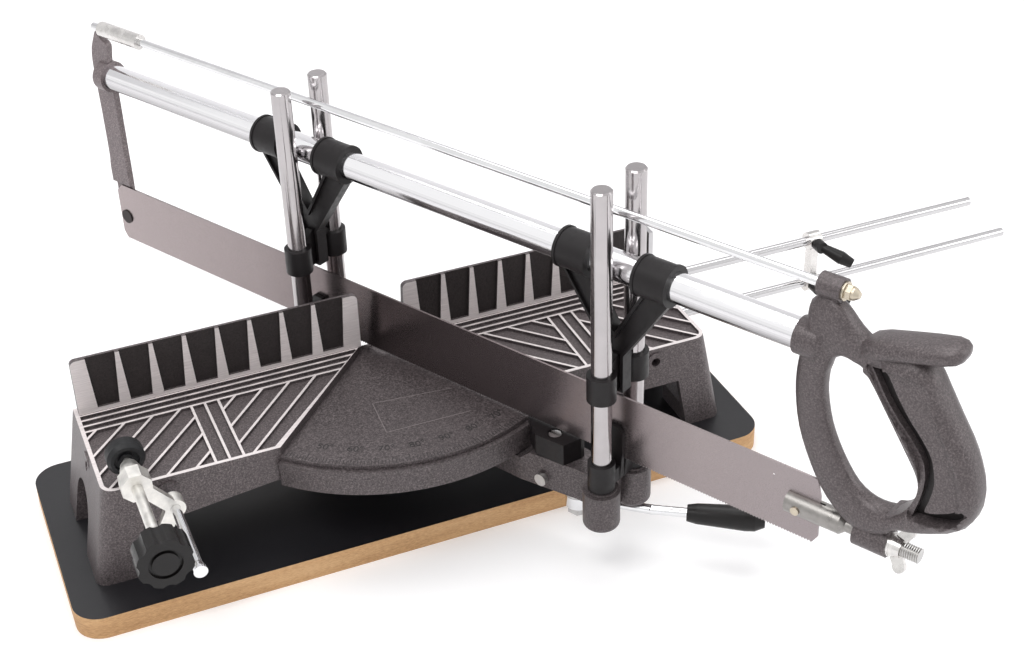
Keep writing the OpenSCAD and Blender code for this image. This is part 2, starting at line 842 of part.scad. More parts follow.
module lock_grip() {
    r = lever_grip_d / 2;
    neck_r = 0.65 * r;
    color(black) on_arm() translate([lever_bend_s, lever_bend_w, lever_z]) rotate([0, 90, lever_a2])
        translate([0, 0, lever_l2 - lever_grip_l]) difference() {
            union() {
                cylinder(r1 = neck_r, r2 = 0.8 * r, h = lever_grip_l / 8, $fn = 48);
                translate([0, 0, lever_grip_l / 8])
                    cylinder(r1 = 0.8 * r, r2 = r, h = lever_grip_l * 5 / 8, $fn = 48);
                translate([0, 0, lever_grip_l * 3 / 4])
                    cylinder(r1 = r, r2 = 0.95 * r, h = lever_grip_l / 8, $fn = 48);
                translate([0, 0, lever_grip_l * 7 / 8])
                    cylinder(r1 = 0.95 * r, r2 = 0.6 * r, h = lever_grip_l / 8, $fn = 48);
            }
            translate([0, 0, -over]) cylinder(d = lever_d + 2 * fit, h = lever_l2, $fn = 32);
        }
}

// Carriers: sleeves on the posts, a bridge over the blade, and a Y that holds the tube
sleeve_d = 17;
sleeve_h = 16.5;
sleeve_lift = 5.5;
ring_d = 23;
ring_w = 21.5;
ring_s = 26;
lip_d = 24;
lip_w = 1.8;
yoke_t = 8;
yoke_rib = 2;
yoke_web = 4;
yoke_hub_w = 12.5;
yoke_hub_h = 24.5;
crotch_h = 38;
beam_t = 5;
sleeve_z = blade_top_z + sleeve_lift;
module carrier_yoke(inset) {
    in_s = ring_s - ring_w / 2 + lip_w + inset;
    out_s = ring_s + ring_w / 2 - lip_w - inset;
    hub_half = yoke_hub_w / 2 - inset;
    for (side = [-1, 1]) polygon([
        [0, sleeve_z + inset],
        [side * hub_half, sleeve_z + inset],
        [side * hub_half, sleeve_z + yoke_hub_h],
        [side * out_s, tube_z - ring_d / 2],
        [side * out_s, tube_z],
        [side * in_s, tube_z],
        [side * in_s, tube_z - ring_d / 2],
        [0, sleeve_z + crotch_h - 2 * inset]
    ]);
}

module carrier(s) {
    on_arm() translate([s, 0, 0]) difference() {
        union() {
            for (w = [-post_half_gap, post_half_gap])
                translate([0, w, sleeve_z]) cylinder(d = sleeve_d, h = sleeve_h, $fn = 64);
            rotate([90, 0, 90]) translate([0, 0, -beam_t / 2]) linear_extrude(beam_t) polygon([
                [-post_half_gap, sleeve_z],
                [post_half_gap, sleeve_z],
                [post_half_gap, sleeve_z + sleeve_h - yoke_rib],
                [yoke_t / 2, sleeve_z + yoke_hub_h],
                [-yoke_t / 2, sleeve_z + yoke_hub_h],
                [-post_half_gap, sleeve_z + sleeve_h - yoke_rib]
            ]);
            difference() {
                rotate([90, 0, 0]) translate([0, 0, -yoke_t / 2]) linear_extrude(yoke_t) carrier_yoke(0);
                for (w = [-yoke_t / 2 - yoke_web / 2, yoke_t / 2 + yoke_web / 2]) translate([0, w, 0])
                    rotate([90, 0, 0]) translate([0, 0, -yoke_web]) linear_extrude(2 * yoke_web)
                        carrier_yoke(yoke_rib);
            }
            for (side = [-1, 1]) {
                rod_x(ring_d, side * ring_s - ring_w / 2, side * ring_s + ring_w / 2, 0, tube_z);
                for (e = [side * ring_s - ring_w / 2, side * ring_s + ring_w / 2 - lip_w])
                    rod_x(lip_d, e, e + lip_w, 0, tube_z);
            }
        }
        for (w = [-post_half_gap, post_half_gap])
            translate([0, w, sleeve_z - over]) cylinder(d = post_d + 2 * fit, h = 2 * sleeve_h, $fn = 64);
        rod_x(tube_d + 2 * fit, -ring_s - ring_w, ring_s + ring_w, 0, tube_z);
    }
}

module back_carrier() {
    color(black) carrier(-back_post_s);
}

module front_carrier() {
    color(black) carrier(front_post_s);
}

// Frame: tube, tension rod, back bracket
tube_wall = 1.5;
tube_back_in = 11.5;
tube_front_in = 7.5;
tube_s0 = back_s + tube_back_in;
tube_s1 = blade_front_s - tube_front_in;
tens_z = teeth_z + blade_w / 2;
module frame_tube() {
    color(bright) on_arm() difference() {
        rod_x(tube_d, tube_s0, tube_s1, 0, tube_z);
        rod_x(tube_d - 2 * tube_wall, tube_s0 - over, tube_s1 + over, 0, tube_z);
    }
}

rod_back_in = 4;
rod_seat = 8;
rod_s0 = back_s + rod_back_in;
bracket_boss_s = rod_s0 + rod_seat;
top_boss_back = 10.5;
top_boss_l = 13;
top_boss_wall = 3.8;
top_boss_s0 = blade_front_s - top_boss_back;
top_boss_s1 = top_boss_s0 + top_boss_l;
rod_washer_d = 10;
rod_washer_t = 1.2;
rod_nut_d = 8.4;
rod_nut_h = 3.2;
rod_dome_h = 2.6;
rod_s1 = top_boss_s1 + rod_washer_t + rod_nut_h;
module tension_rod() {
    color(bright) on_arm() rod_x(rod_d, rod_s0, rod_s1, 0, rod_z);
}

rod_collar_d = 10;
rod_collar_l = 38;
module rod_collar() {
    s1 = bracket_boss_s + rod_collar_l;
    color(zinc) on_arm() difference() {
        rod_x(rod_collar_d, bracket_boss_s + free_gap, s1, 0, rod_z);
        rod_x(rod_d + 2 * fit, bracket_boss_s, s1 + over, 0, rod_z);
    }
}

// A smooth closed outline through a few points
function spline(p, n) = [
    for (i = [0:len(p) - 1], k = [0:n - 1])
        let (
            a = p[(i + len(p) - 1) % len(p)],
            b = p[i],
            c = p[(i + 1) % len(p)],
            d = p[(i + 2) % len(p)],
            t = k / n
        )
        0.5 * (2 * b + (c - a) * t + (2 * a - 5 * b + 4 * c - d) * t * t + (3 * b - a - 3 * c + d) * t * t * t)
];

// Bracket outline: shares of its width from the blade's end, and of the height from pin to rod
pin_in = 6.5;
blade_pin_s = back_s + pin_in;
blade_pin_d = 10;
blade_pin_h = 0.8;
pin_z = tens_z - blade_w / 14;
back_bracket_t = 4.5;
back_bracket_w = 17;
back_seat_l = 4.5;
back_seat_in = 4;
back_seat_wall = 2;
back_shares = [
    [0.435, 0.986], [0.255, 0.947], [0.035, 0.884], [-0.045, 0.793], [0.005, 0.59], [0.015, 0.344],
    [-0.045, 0.264], [-0.025, 0.116], [-0.015, 0], [0.415, -0.074], [0.815, 0], [0.955, 0.172],
    [0.955, 0.393], [0.945, 0.695], [0.895, 0.842], [0.995, 0.926], [0.715, 0.95], [0.555, 0.968]
];
module back_bracket() {
    half = back_bracket_t / 2;
    slot = blade_t / 2 + fit;
    outline = spline([
        for (p = back_shares) [back_s + p[0] * back_bracket_w, pin_z + p[1] * (rod_z - pin_z)]
    ], 4);
    color(paint) on_arm() difference() {
        union() {
            rotate([90, 0, 0]) translate([0, 0, -half]) linear_extrude(back_bracket_t) polygon(outline);
            rod_x(tube_d + 2 * back_seat_wall, tube_s0 - back_seat_in, tube_s0 + back_seat_l, 0, tube_z);
        }
        translate([back_s - back_bracket_w, -half - over, teeth_z - blade_w])
            cube([3 * back_bracket_w, half + over + slot, 2 * blade_w + sleeve_lift / 2]);
        rod_x(tube_d + 2 * fit, tube_s0 - fit, tube_s0 + 2 * back_seat_l, 0, tube_z);
        rod_x(rod_d + 2 * fit, rod_s0 - over, bracket_boss_s + rod_seat, 0, rod_z);
        translate([blade_pin_s, 0, pin_z]) rotate([90, 0, 0])
            cylinder(d = blade_pin_d / 2 + 2 * fit, h = 4 * half, center = true, $fn = 48);
    }
}

module blade_pin() {
    half = back_bracket_t / 2;
    color(bright) on_arm() translate([blade_pin_s, half, pin_z]) rotate([90, 0, 0]) {
        cylinder(d = blade_pin_d / 2, h = half + blade_t / 2 + 2 * fit, $fn = 48);
        translate([0, 0, half + blade_t / 2 + fit]) cylinder(d = blade_pin_d, h = blade_pin_h, $fn = 48);
    }
}

// Handle: a ring swept round the opening, each section given by the shares of its inner
// edge, its outer edge and its half thickness
grip_back = 19.5;
grip_foot = 3;
grip_tube_share = 1.03;
grip_rod_share = 0.335;
grip_s0 = blade_front_s - grip_back;
grip_z0 = tens_z + grip_foot;
grip_h = (tube_z - grip_z0) / grip_tube_share;
grip_top_h = rod_h / grip_rod_share;
grip_shares = [
    [[0.2, 0.96], [0.056, 1.27], 0.5], [[0.186, 0.91], [0.04, 1.11], 0.54],
    [[0.173, 0.85], [0.008, 0.89], 0.52], [[0.175, 0.728], [0.006, 0.71], 0.48],
    [[0.217, 0.555], [0.04, 0.5], 0.46], [[0.294, 0.396], [0.124, 0.29], 0.46],
    [[0.395, 0.26], [0.235, 0.12], 0.49], [[0.495, 0.205], [0.405, 0], 0.58],
    [[0.595, 0.205], [0.575, 0.035], 0.65], [[0.65, 0.235], [0.655, 0.115], 0.73],
    [[0.7, 0.295], [0.8, 0.165], 0.85], [[0.74, 0.4], [1.01, 0.29], 0.97],
    [[0.73, 0.5], [1.06, 0.48], 1], [[0.645, 0.64], [0.995, 0.7], 1],
    [[0.535, 0.805], [0.895, 0.87], 0.98], [[0.465, 0.91], [0.805, 1.02], 0.96],
    [[0.418, 0.973], [0.755, 1.1], 0.92], [[0.385, 0.998], [0.67, 1.16], 0.85],
    [[0.355, 1.008], [0.53, 1.15], 0.7], [[0.32, 1.012], [0.41, 1.135], 0.62],
    [[0.285, 1.014], [0.32, 1.19], 0.58], [[0.25, 1.004], [0.235, 1.28], 0.55],
    [[0.225, 0.988], [0.155, 1.325], 0.54]
];
// Thumb horn: sections from its tip back to its root, lower edge first
horn_shares = [
    [[0.886, 1.25], [0.886, 1.265], 0.12], [[0.878, 1.222], [0.874, 1.29], 0.5],
    [[0.855, 1.203], [0.846, 1.3], 0.69], [[0.81, 1.188], [0.795, 1.296], 0.83],
    [[0.71, 1.16], [0.69, 1.27], 0.86], [[0.59, 1.123], [0.565, 1.235], 0.86],
    [[0.48, 1.09], [0.45, 1.202], 0.85], [[0.42, 1.072], [0.392, 1.178], 0.75],
    [[0.378, 1.07], [0.362, 1.15], 0.54], [[0.356, 1.09], [0.352, 1.12], 0.12]
];
// Groove between the opening's rim and the side panel, and the panel it runs round
groove_shares = [
    [0.405, 1.085], [0.45, 0.995], [0.518, 0.88], [0.603, 0.77], [0.673, 0.695], [0.728, 0.62],
    [0.75, 0.55], [0.752, 0.465], [0.735, 0.375], [0.715, 0.29], [0.725, 0.262], [0.77, 0.265],
    [0.87, 0.29], [0.97, 0.338], [1.03, 0.405], [1.005, 0.435], [0.94, 0.386], [0.85, 0.342],
    [0.795, 0.332], [0.808, 0.41], [0.82, 0.5], [0.815, 0.57], [0.788, 0.67], [0.725, 0.76],
    [0.655, 0.84], [0.582, 0.945], [0.515, 1.065], [0.48, 1.12]
];
panel_shares = [
    [0.46, 1.1], [0.5, 1.05], [0.57, 0.93], [0.64, 0.82], [0.71, 0.74], [0.77, 0.65],
    [0.8, 0.57], [0.8, 0.5], [0.79, 0.41], [0.78, 0.31], [0.85, 0.32], [0.94, 0.365],
    [1.005, 0.42], [1.005, 0.538], [0.943, 0.676], [0.893, 0.797], [0.813, 0.944],
    [0.753, 1.078], [0.73, 1.15]
];
grip_sides = 16;
groove_depth = 4.4;
panel_depth = 1.8;
function at_grip(p) = [
    grip_s0 + p[0] * grip_l,
    p[1] < grip_tube_share ? grip_z0 + p[1] * grip_h : tube_z + (p[1] - grip_tube_share) * grip_top_h
];
function grip_place(p) = [
    at_grip(p[0])[0], at_grip(p[0])[1], at_grip(p[1])[0], at_grip(p[1])[1], p[2] * grip_half_t
];
function squash(v) = sign(v) * pow(abs(v), 0.75);
function ring_points(stations) = [
    for (q = stations, k = [0:grip_sides - 1])
        let (
            a = 360 * (k + 0.5) / grip_sides,
            t = (1 - squash(cos(a))) / 2
        )
        [q[0] + t * (q[2] - q[0]), q[4] * squash(sin(a)), q[1] + t * (q[3] - q[1])]
];
function side_faces(n, rings) = [
    for (i = [0:rings - 1], k = [0:grip_sides - 1], half = [0, 1])
        let (
            a = i * grip_sides + k,
            b = i * grip_sides + (k + 1) % grip_sides,
            c = ((i + 1) % n) * grip_sides + (k + 1) % grip_sides,
            d = ((i + 1) % n) * grip_sides + k
        )
        half == 0 ? [a, b, c] : [a, c, d]
];
function cap_faces(first, flip) = [
    for (k = [1:grip_sides - 2]) flip ? [first, first + k + 1, first + k] : [first, first + k, first + k + 1]
];

module grip_loop() {
    loop = spline([for (p = grip_shares) grip_place(p)], 3);
    polyhedron(points = ring_points(loop), faces = side_faces(len(loop), len(loop)), convexity = 8);
}

module horn() {
    stations = [for (p = horn_shares) grip_place(p)];
    n = len(stations);
    polyhedron(
        points = ring_points(stations),
        faces = concat(side_faces(n, n - 1), cap_faces(0, true), cap_faces((n - 1) * grip_sides, false)),
        convexity = 4
    );
}

// Cuts an outline into both sides of the grip, down from its fullest thickness
module both_sides(shares, depth) {
    floor_w = grip_half_t - depth;
    for (w = [-grip_half_t - over - 2 * floor_w, 0])
        translate([0, w + floor_w, 0]) rotate([90, 0, 0]) mirror([0, 0, 1])
            linear_extrude(grip_half_t + over) polygon([for (p = shares) at_grip(p)]);
}

neck_s0 = grip_s0;
neck_wall = 1.8;
neck_end = 4;
neck_root_d = 13;
low_boss_front = 22.5;
low_boss_l = 19;
low_boss_d = 16;
low_boss_s0 = blade_front_s + low_boss_front;
low_boss_s1 = low_boss_s0 + low_boss_l;
tens_rod_d = 8;
module handle() {
    color(paint) on_arm() difference() {
        union() {
            difference() {
                grip_loop();
                both_sides(groove_shares, groove_depth);
                both_sides(panel_shares, panel_depth);
            }
            horn();
            rod_x(tube_d + 2 * neck_wall, neck_s0, tube_s1, 0, tube_z);
            translate([tube_s1, 0, tube_z]) rotate([0, 90, 0])
                cylinder(d1 = tube_d + 2 * neck_wall, d2 = neck_root_d, h = neck_end, $fn = 64);
            rod_x(rod_d + 2 * top_boss_wall, top_boss_s0, top_boss_s1, 0, rod_z);
            rod_x(low_boss_d, low_boss_s0, low_boss_s1, 0, tens_z);
        }
        rod_x(tube_d + 2 * fit, neck_s0 - over, tube_s1 + fit, 0, tube_z);
        rod_x(rod_d + 2 * fit, top_boss_s0 - over, top_boss_s1 + over, 0, rod_z);
        rod_x(tens_rod_d + 2 * fit, low_boss_s0 - low_boss_l, low_boss_s1 + over, 0, tens_z);
    }
}

module rod_washer() {
    color(zinc) on_arm() difference() {
        rod_x(rod_washer_d, top_boss_s1 + fit, top_boss_s1 + rod_washer_t, 0, rod_z);
        rod_x(rod_d + 2 * fit, top_boss_s1 - over, top_boss_s1 + rod_washer_t + over, 0, rod_z);
    }
}

module rod_nut() {
    s0 = top_boss_s1 + rod_washer_t + fit;
    dome_d = 0.8 * rod_nut_d;
    color(zinc) on_arm() difference() {
        union() {
            translate([s0, 0, rod_z]) rotate([0, 90, 0]) cylinder(d = rod_nut_d, h = rod_nut_h, $fn = 6);
            rod_x(dome_d, s0, s0 + rod_nut_h + rod_dome_h / 2, 0, rod_z);
            translate([s0 + rod_nut_h + rod_dome_h / 2, 0, rod_z]) rotate([0, 90, 0])
                cylinder(d1 = dome_d, d2 = dome_d / 2, h = rod_dome_h, $fn = 48);
        }
        rod_x(rod_d + 2 * fit, s0 - over, rod_s1 + fit, 0, rod_z);
    }
}

// Blade, held by the back pin and the clevis in front
clevis_pin_d = 5;
clevis_pin_in = 11.5;
clevis_pin_s = blade_front_s - clevis_pin_in;
blade_hole_d = 1.8;
blade_hole_in = 29;
blade_hole_drop = 9;
module blade() {
    corner = blade_w / 8;
    nose = blade_w / 16;
    color("silver") on_arm() difference() {
        rotate([90, 0, 0]) translate([0, 0, -blade_t / 2]) linear_extrude(blade_t) polygon([
            [back_s + nose, teeth_z],
            [blade_front_s - nose, teeth_z],
            [blade_front_s, teeth_z + corner],
            [blade_front_s, blade_top_z - 2 * corner],
            [blade_front_s - nose, blade_top_z],
            [back_s + corner, blade_top_z],
            [back_s, blade_top_z - corner],
            [back_s, teeth_z + corner]
        ]);
        translate([blade_pin_s, 0, pin_z]) rotate([90, 0, 0])
            cylinder(d = blade_pin_d / 2 + 2 * fit, h = 4 * blade_t, center = true, $fn = 32);
        translate([clevis_pin_s, 0, tens_z]) rotate([90, 0, 0])
            cylinder(d = clevis_pin_d + 2 * fit, h = 4 * blade_t, center = true, $fn = 32);
        translate([blade_front_s - blade_hole_in, 0, blade_top_z - blade_hole_drop]) rotate([90, 0, 0])
            cylinder(d = blade_hole_d, h = 4 * blade_t, center = true, $fn = 32);
    }
}

clevis_d = 13;
clevis_back = 19;
clevis_front = 13.5;
clevis_slot_end = 3;
clevis_cone_l = 3;
tens_front = 58.5;
clevis_s0 = blade_front_s - clevis_back;
clevis_s1 = blade_front_s + clevis_front;
module clevis() {
    color(bright) on_arm() difference() {
        union() {
            rod_x(clevis_d, clevis_s0, clevis_s1, 0, tens_z);
            translate([clevis_s1, 0, tens_z]) rotate([0, 90, 0])
                cylinder(d1 = clevis_d, d2 = tens_rod_d, h = clevis_cone_l, $fn = 48);
            rod_x(tens_rod_d, clevis_s1, blade_front_s + tens_front, 0, tens_z);
        }
        translate([clevis_s0 - over, -blade_t / 2 - fit, tens_z - clevis_d])
            cube([clevis_back + clevis_slot_end + over, blade_t + 2 * fit, 2 * clevis_d]);
        translate([clevis_pin_s, 0, tens_z]) rotate([90, 0, 0])
            cylinder(d = clevis_pin_d + 2 * fit, h = 2 * clevis_d, center = true, $fn = 32);
    }
}

clevis_pin_proud = 1;
module clevis_pin() {
    half = clevis_d / 2 + clevis_pin_proud;
    color(zinc) on_arm() translate([clevis_pin_s, half, tens_z]) rotate([90, 0, 0])
        cylinder(d = clevis_pin_d, h = 2 * half, $fn = 32);
}

washer_d = 13.5;
washer_t = 1.6;
module clevis_washer() {
    color(zinc) on_arm() difference() {
        rod_x(washer_d, low_boss_s1 + fit, low_boss_s1 + washer_t, 0, tens_z);
        rod_x(tens_rod_d + 2 * fit, low_boss_s1 - over, low_boss_s1 + washer_t + over, 0, tens_z);
    }
}

wing_hub_d = 13;
wing_hub_l = 5.5;
wing_span = 26;
wing_t = 3;
wing_l = 10;
wing_tip_r = 3.4;
wing_turned = 65;
module wing_nut() {
    s0 = low_boss_s1 + washer_t + fit;
    color(zinc) on_arm() translate([s0, 0, tens_z]) rotate([wing_turned, 0, 0]) difference() {
        union() {
            rotate([0, 90, 0]) cylinder(d1 = wing_hub_d, d2 = 0.8 * wing_hub_d, h = wing_hub_l, $fn = 48);
            translate([0, 0, -wing_t / 2]) linear_extrude(wing_t) for (side = [-1, 1]) {
                polygon([
                    [wing_hub_l / 8, 0],
                    [wing_hub_l / 8, side * wing_hub_d / 2],
                    [wing_l / 2, side * (wing_span / 2 - wing_tip_r / 4)],
                    [wing_l, side * (wing_span / 2 - wing_tip_r)],
                    [wing_hub_l, 0]
                ]);
                translate([wing_l - wing_tip_r, side * (wing_span / 2 - wing_tip_r)])
                    circle(r = wing_tip_r, $fn = 32);
            }
        }
        rotate([0, 90, 0]) translate([0, 0, -over])
            cylinder(d = tens_rod_d + 2 * fit, h = 2 * wing_l, $fn = 48);
    }
}

// Work clamp: rod in the skirt, sliding bracket, spindle with knob and rubber pad
spindle_z = table_z + spindle_h;
spindle_pos_x = -clamp_rod_x - spindle_x;
clamp_rod_front_y = -table_front - clamp_rod_l;
rod_head_d = 8;
rod_head_h = 2;
rod_head_cone = 5;
module clamp_rod() {
    color(bright) {
        rod_y(clamp_rod_d, clamp_rod_front_y, -table_front + rod_socket, -clamp_rod_x, clamp_z);
        rod_y(rod_head_d, clamp_rod_front_y - rod_head_h, clamp_rod_front_y, -clamp_rod_x, clamp_z);
        translate([-clamp_rod_x, clamp_rod_front_y, clamp_z]) rotate([-90, 0, 0])
            cylinder(d1 = rod_head_d, d2 = clamp_rod_d, h = rod_head_cone, $fn = 48);
    }
}

clamp_hub_out = 15;
clamp_hub_d = 18.5;
clamp_hub_l = 11;
clamp_neck_l = 12;
clamp_neck_wall = 1.6;
clamp_collar_d = 12;
clamp_collar_l = 9;
clamp_arm_in = 2;
clamp_arm_t = 4.5;
clamp_arm_w = 8;
clamp_hub_y = -table_front - clamp_hub_out;
module clamp_bracket() {
    dz = spindle_z - clamp_z;
    lean = atan2(dz, -spindle_x);
    reach = norm([spindle_x, dz]);
    y0 = clamp_hub_y - clamp_hub_l / 2;
    y1 = clamp_hub_y + clamp_hub_l / 2;
    arm_y = y0 + clamp_arm_in;
    color(bright) difference() {
        union() {
            translate([spindle_pos_x, y1, spindle_z]) rotate([90, 0, 0])
                rotate(22.5) cylinder(d = clamp_hub_d, h = clamp_hub_l, $fn = 8);
            translate([spindle_pos_x, y1, spindle_z]) rotate([-90, 0, 0])
                cylinder(d1 = 0.85 * clamp_hub_d, d2 = spindle_d + 2 * clamp_neck_wall, h = clamp_neck_l, $fn = 48);
            rod_y(clamp_collar_d, arm_y, arm_y + clamp_collar_l, -clamp_rod_x, clamp_z);
            along_y(arm_y, arm_y + clamp_arm_t) {
                translate([-clamp_rod_x, clamp_z]) rotate(lean)
                    translate([0, -clamp_arm_w / 2]) square([reach, clamp_arm_w]);
                polygon([
                    [-clamp_rod_x - clamp_collar_d / 2, clamp_z],
                    [-clamp_rod_x - clamp_collar_d * 0.9, clamp_z - clamp_collar_d * 0.8],
                    [-clamp_rod_x - clamp_collar_d / 5, clamp_z - clamp_collar_d],
                    [-clamp_rod_x + clamp_collar_d / 3, clamp_z]
                ]);
            }
        }
        rod_y(clamp_rod_d + 2 * fit, y0 - over, y1 + over, -clamp_rod_x, clamp_z);
        rod_y(spindle_d + 2 * fit, y0 - over, y1 + clamp_neck_l + over, spindle_pos_x, spindle_z);
    }
}

pad_in = 11.5;
pad_l = 9;
pad_wall = 2.5;
pad_skin = 3;
knob_out = 80;
knob_l = 20;
tip_l = 5;
tip_d = spindle_d - 1.5;
pad_y = -table_front + pad_in;
knob_y = -table_front - knob_out;
spindle_tip_y = pad_y - pad_l / 2 + pad_skin;
module clamp_spindle() {
    color(bright) {
        rod_y(spindle_d, knob_y, spindle_tip_y - tip_l, spindle_pos_x, spindle_z);
        rod_y(tip_d, spindle_tip_y - tip_l - over, spindle_tip_y, spindle_pos_x, spindle_z);
    }
}

lobe_n = 8;
knob_ring_d = 0.6 * knob_d;
knob_ring_w = 2;
knob_ring_h = 1.6;
module clamp_knob() {
    lobe_d = knob_d / 3;
    color(black) translate([spindle_pos_x, knob_y + knob_l / 2, spindle_z]) rotate([90, 0, 0]) difference() {
        union() {
            translate([0, 0, knob_l / 4]) linear_extrude(knob_l * 3 / 4) difference() {
                circle(d = knob_d, $fn = 96);
                for (k = [0:lobe_n - 1]) rotate(360 * k / lobe_n)
                    translate([knob_d * 0.62, 0]) circle(d = lobe_d, $fn = 32);
            }
            cylinder(d1 = knob_d * 0.5, d2 = knob_d * 0.7, h = knob_l / 4, $fn = 48);
        }
        translate([0, 0, knob_l - knob_ring_h]) difference() {
            cylinder(d = knob_ring_d, h = knob_l, $fn = 48);
            translate([0, 0, -over]) cylinder(d = knob_ring_d - 2 * knob_ring_w, h = 2 * knob_l, $fn = 48);
        }
        translate([0, 0, -over]) cylinder(d = spindle_d + 2 * fit, h = knob_l / 2 + over, $fn = 48);
    }
}

// Rubber cup on the spindle's tip, with a ring-shaped recess in its back
module clamp_pad() {
    y0 = pad_y - pad_l / 2;
    y1 = pad_y + pad_l / 2;
    color(black) difference() {
        union() {
            rod_y(pad_d, y0 + pad_l / 4, y1, spindle_pos_x, spindle_z);
            translate([spindle_pos_x, y0 + pad_l / 4, spindle_z]) rotate([90, 0, 0])
                cylinder(d1 = pad_d, d2 = pad_d * 0.84, h = pad_l / 4, $fn = 48);
        }
        rod_y(pad_d - 2 * pad_wall, y1 - pad_l / 4, y1 + over, spindle_pos_x, spindle_z);
        difference() {
            rod_y(pad_d - 3 * pad_wall, y0 - over, y0 + pad_l / 4, spindle_pos_x, spindle_z);
            rod_y(spindle_d + pad_wall, y0 - 2 * over, y0 + pad_l / 2, spindle_pos_x, spindle_z);
        }
        rod_y(tip_d + 2 * fit, y0 - pad_l, spindle_tip_y + fit, spindle_pos_x, spindle_z);
    }
}

// Length stop: fixed rail, sliding bracket, and a rod with a turned-up end
stop_rod_z = rail_z + stop_pitch;
module stop_rail() {
    color(bright) rod_x(stop_d, half_l - rail_socket, rail_end_x, -stop_y, rail_z);
}

stop_strip_w = 8;
stop_strip_t = 5;
stop_ring_d = 12;
stop_ring_l = 9;
module stop_bracket() {
    color(bright) difference() {
        union() {
            translate([bracket_x - stop_strip_t / 2, 0, 0]) rotate([90, 0, 90]) linear_extrude(stop_strip_t)
                translate([-stop_y - stop_strip_w / 2, rail_z]) square([stop_strip_w, stop_pitch]);
            for (z = [rail_z, stop_rod_z])
                rod_x(stop_ring_d, bracket_x - stop_ring_l / 2, bracket_x + stop_ring_l / 2, -stop_y, z);
        }
        for (z = [rail_z, stop_rod_z])
            rod_x(stop_d + 2 * fit, bracket_x - stop_ring_l, bracket_x + stop_ring_l, -stop_y, z);
    }
}

stop_face_h = 38;
stop_face_w = 9;
stop_hole_d = 3;
module stop_rod() {
    hole_z = stop_rod_z + stop_face_h - 1.5 * stop_hole_d;
    color(bright) difference() {
        union() {
            rod_x(stop_d, stop_face_x, stop_end_x, -stop_y, stop_rod_z);
            translate([stop_face_x, -stop_y - stop_face_w / 2, stop_rod_z - stop_d / 2])
                cube([stop_d / 2, stop_face_w, stop_face_h + stop_d / 2]);
        }
        rod_x(stop_hole_d, stop_face_x - over, stop_face_x + stop_d, -stop_y, hole_z);
    }
}

// Cam levers that lock the bracket to the rail and to the rod
stop_grip_l = 24;
stop_grip_d = 9;
stop_grip_dip = 22;
module stop_lever(z) {
    r = stop_grip_d / 2;
    y0 = -stop_y - stop_ring_d / 2 - free_gap;
    color(black) translate([bracket_x, y0, z]) {
        rotate([90, 0, 0]) cylinder(r = 0.9 * r, h = 1.4 * r, $fn = 32);
        translate([0, -0.7 * r, 0]) rotate([0, 90, -45]) rotate([0, stop_grip_dip, 0]) {
            cylinder(r1 = 0.6 * r, r2 = r, h = 0.65 * stop_grip_l, $fn = 32);
            translate([0, 0, 0.65 * stop_grip_l])
                cylinder(r1 = r, r2 = 0.7 * r, h = 0.35 * stop_grip_l, $fn = 32);
        }
    }
}

module upper_stop_lever() {
    stop_lever(stop_rod_z);
}

module lower_stop_lever() {
    stop_lever(rail_z);
}

base_board();
table_left();
table_right();
fence_left();
fence_right();
sector();
base_screws();
pivot_bolt();
pivot_nut();
clamp_rod();
stop_rail();
arm_casting();
front_left_post();
front_right_post();
back_left_post();
back_right_post();
front_guide();
back_guide();
index_block();
index_screw();
arm_stop_screw();
lock_stud();
lock_lever();
lock_grip();
back_carrier();
front_carrier();
frame_tube();
back_bracket();
handle();
tension_rod();
rod_collar();
rod_washer();
rod_nut();
blade();
blade_pin();
clevis();
clevis_pin();
clevis_washer();
wing_nut();
clamp_bracket();
clamp_spindle();
clamp_knob();
clamp_pad();
stop_bracket();
stop_rod();
upper_stop_lever();
lower_stop_lever();
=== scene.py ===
import math

import bmesh
import bpy
from mathutils import Matrix, Vector


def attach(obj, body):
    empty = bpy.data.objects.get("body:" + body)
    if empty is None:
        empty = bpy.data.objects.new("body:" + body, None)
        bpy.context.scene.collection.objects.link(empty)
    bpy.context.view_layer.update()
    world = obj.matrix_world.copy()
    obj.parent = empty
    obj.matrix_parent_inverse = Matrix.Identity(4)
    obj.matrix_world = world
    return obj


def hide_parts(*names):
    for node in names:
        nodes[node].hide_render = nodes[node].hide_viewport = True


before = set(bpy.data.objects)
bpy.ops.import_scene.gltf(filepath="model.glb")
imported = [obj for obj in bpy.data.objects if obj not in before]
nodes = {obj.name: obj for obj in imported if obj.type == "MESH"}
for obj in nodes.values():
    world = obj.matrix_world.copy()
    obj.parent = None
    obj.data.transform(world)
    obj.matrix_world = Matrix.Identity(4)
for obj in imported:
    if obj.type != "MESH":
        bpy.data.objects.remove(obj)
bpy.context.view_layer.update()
MM = 0.001

# Camera: fitted to the photograph
AZIMUTH = math.radians(-21.626)
ELEVATION = math.radians(33.206)
ROLL = math.radians(-1.865)
PLACE = Vector((-254.29, -874.74, 679.03)) * MM
FOCAL_PX = 1711.36
CENTRE_PX = (513.66, 332.05)
IMAGE_PX = (1024, 664)
SENSOR_MM = 36.0
CLIP_END = 50

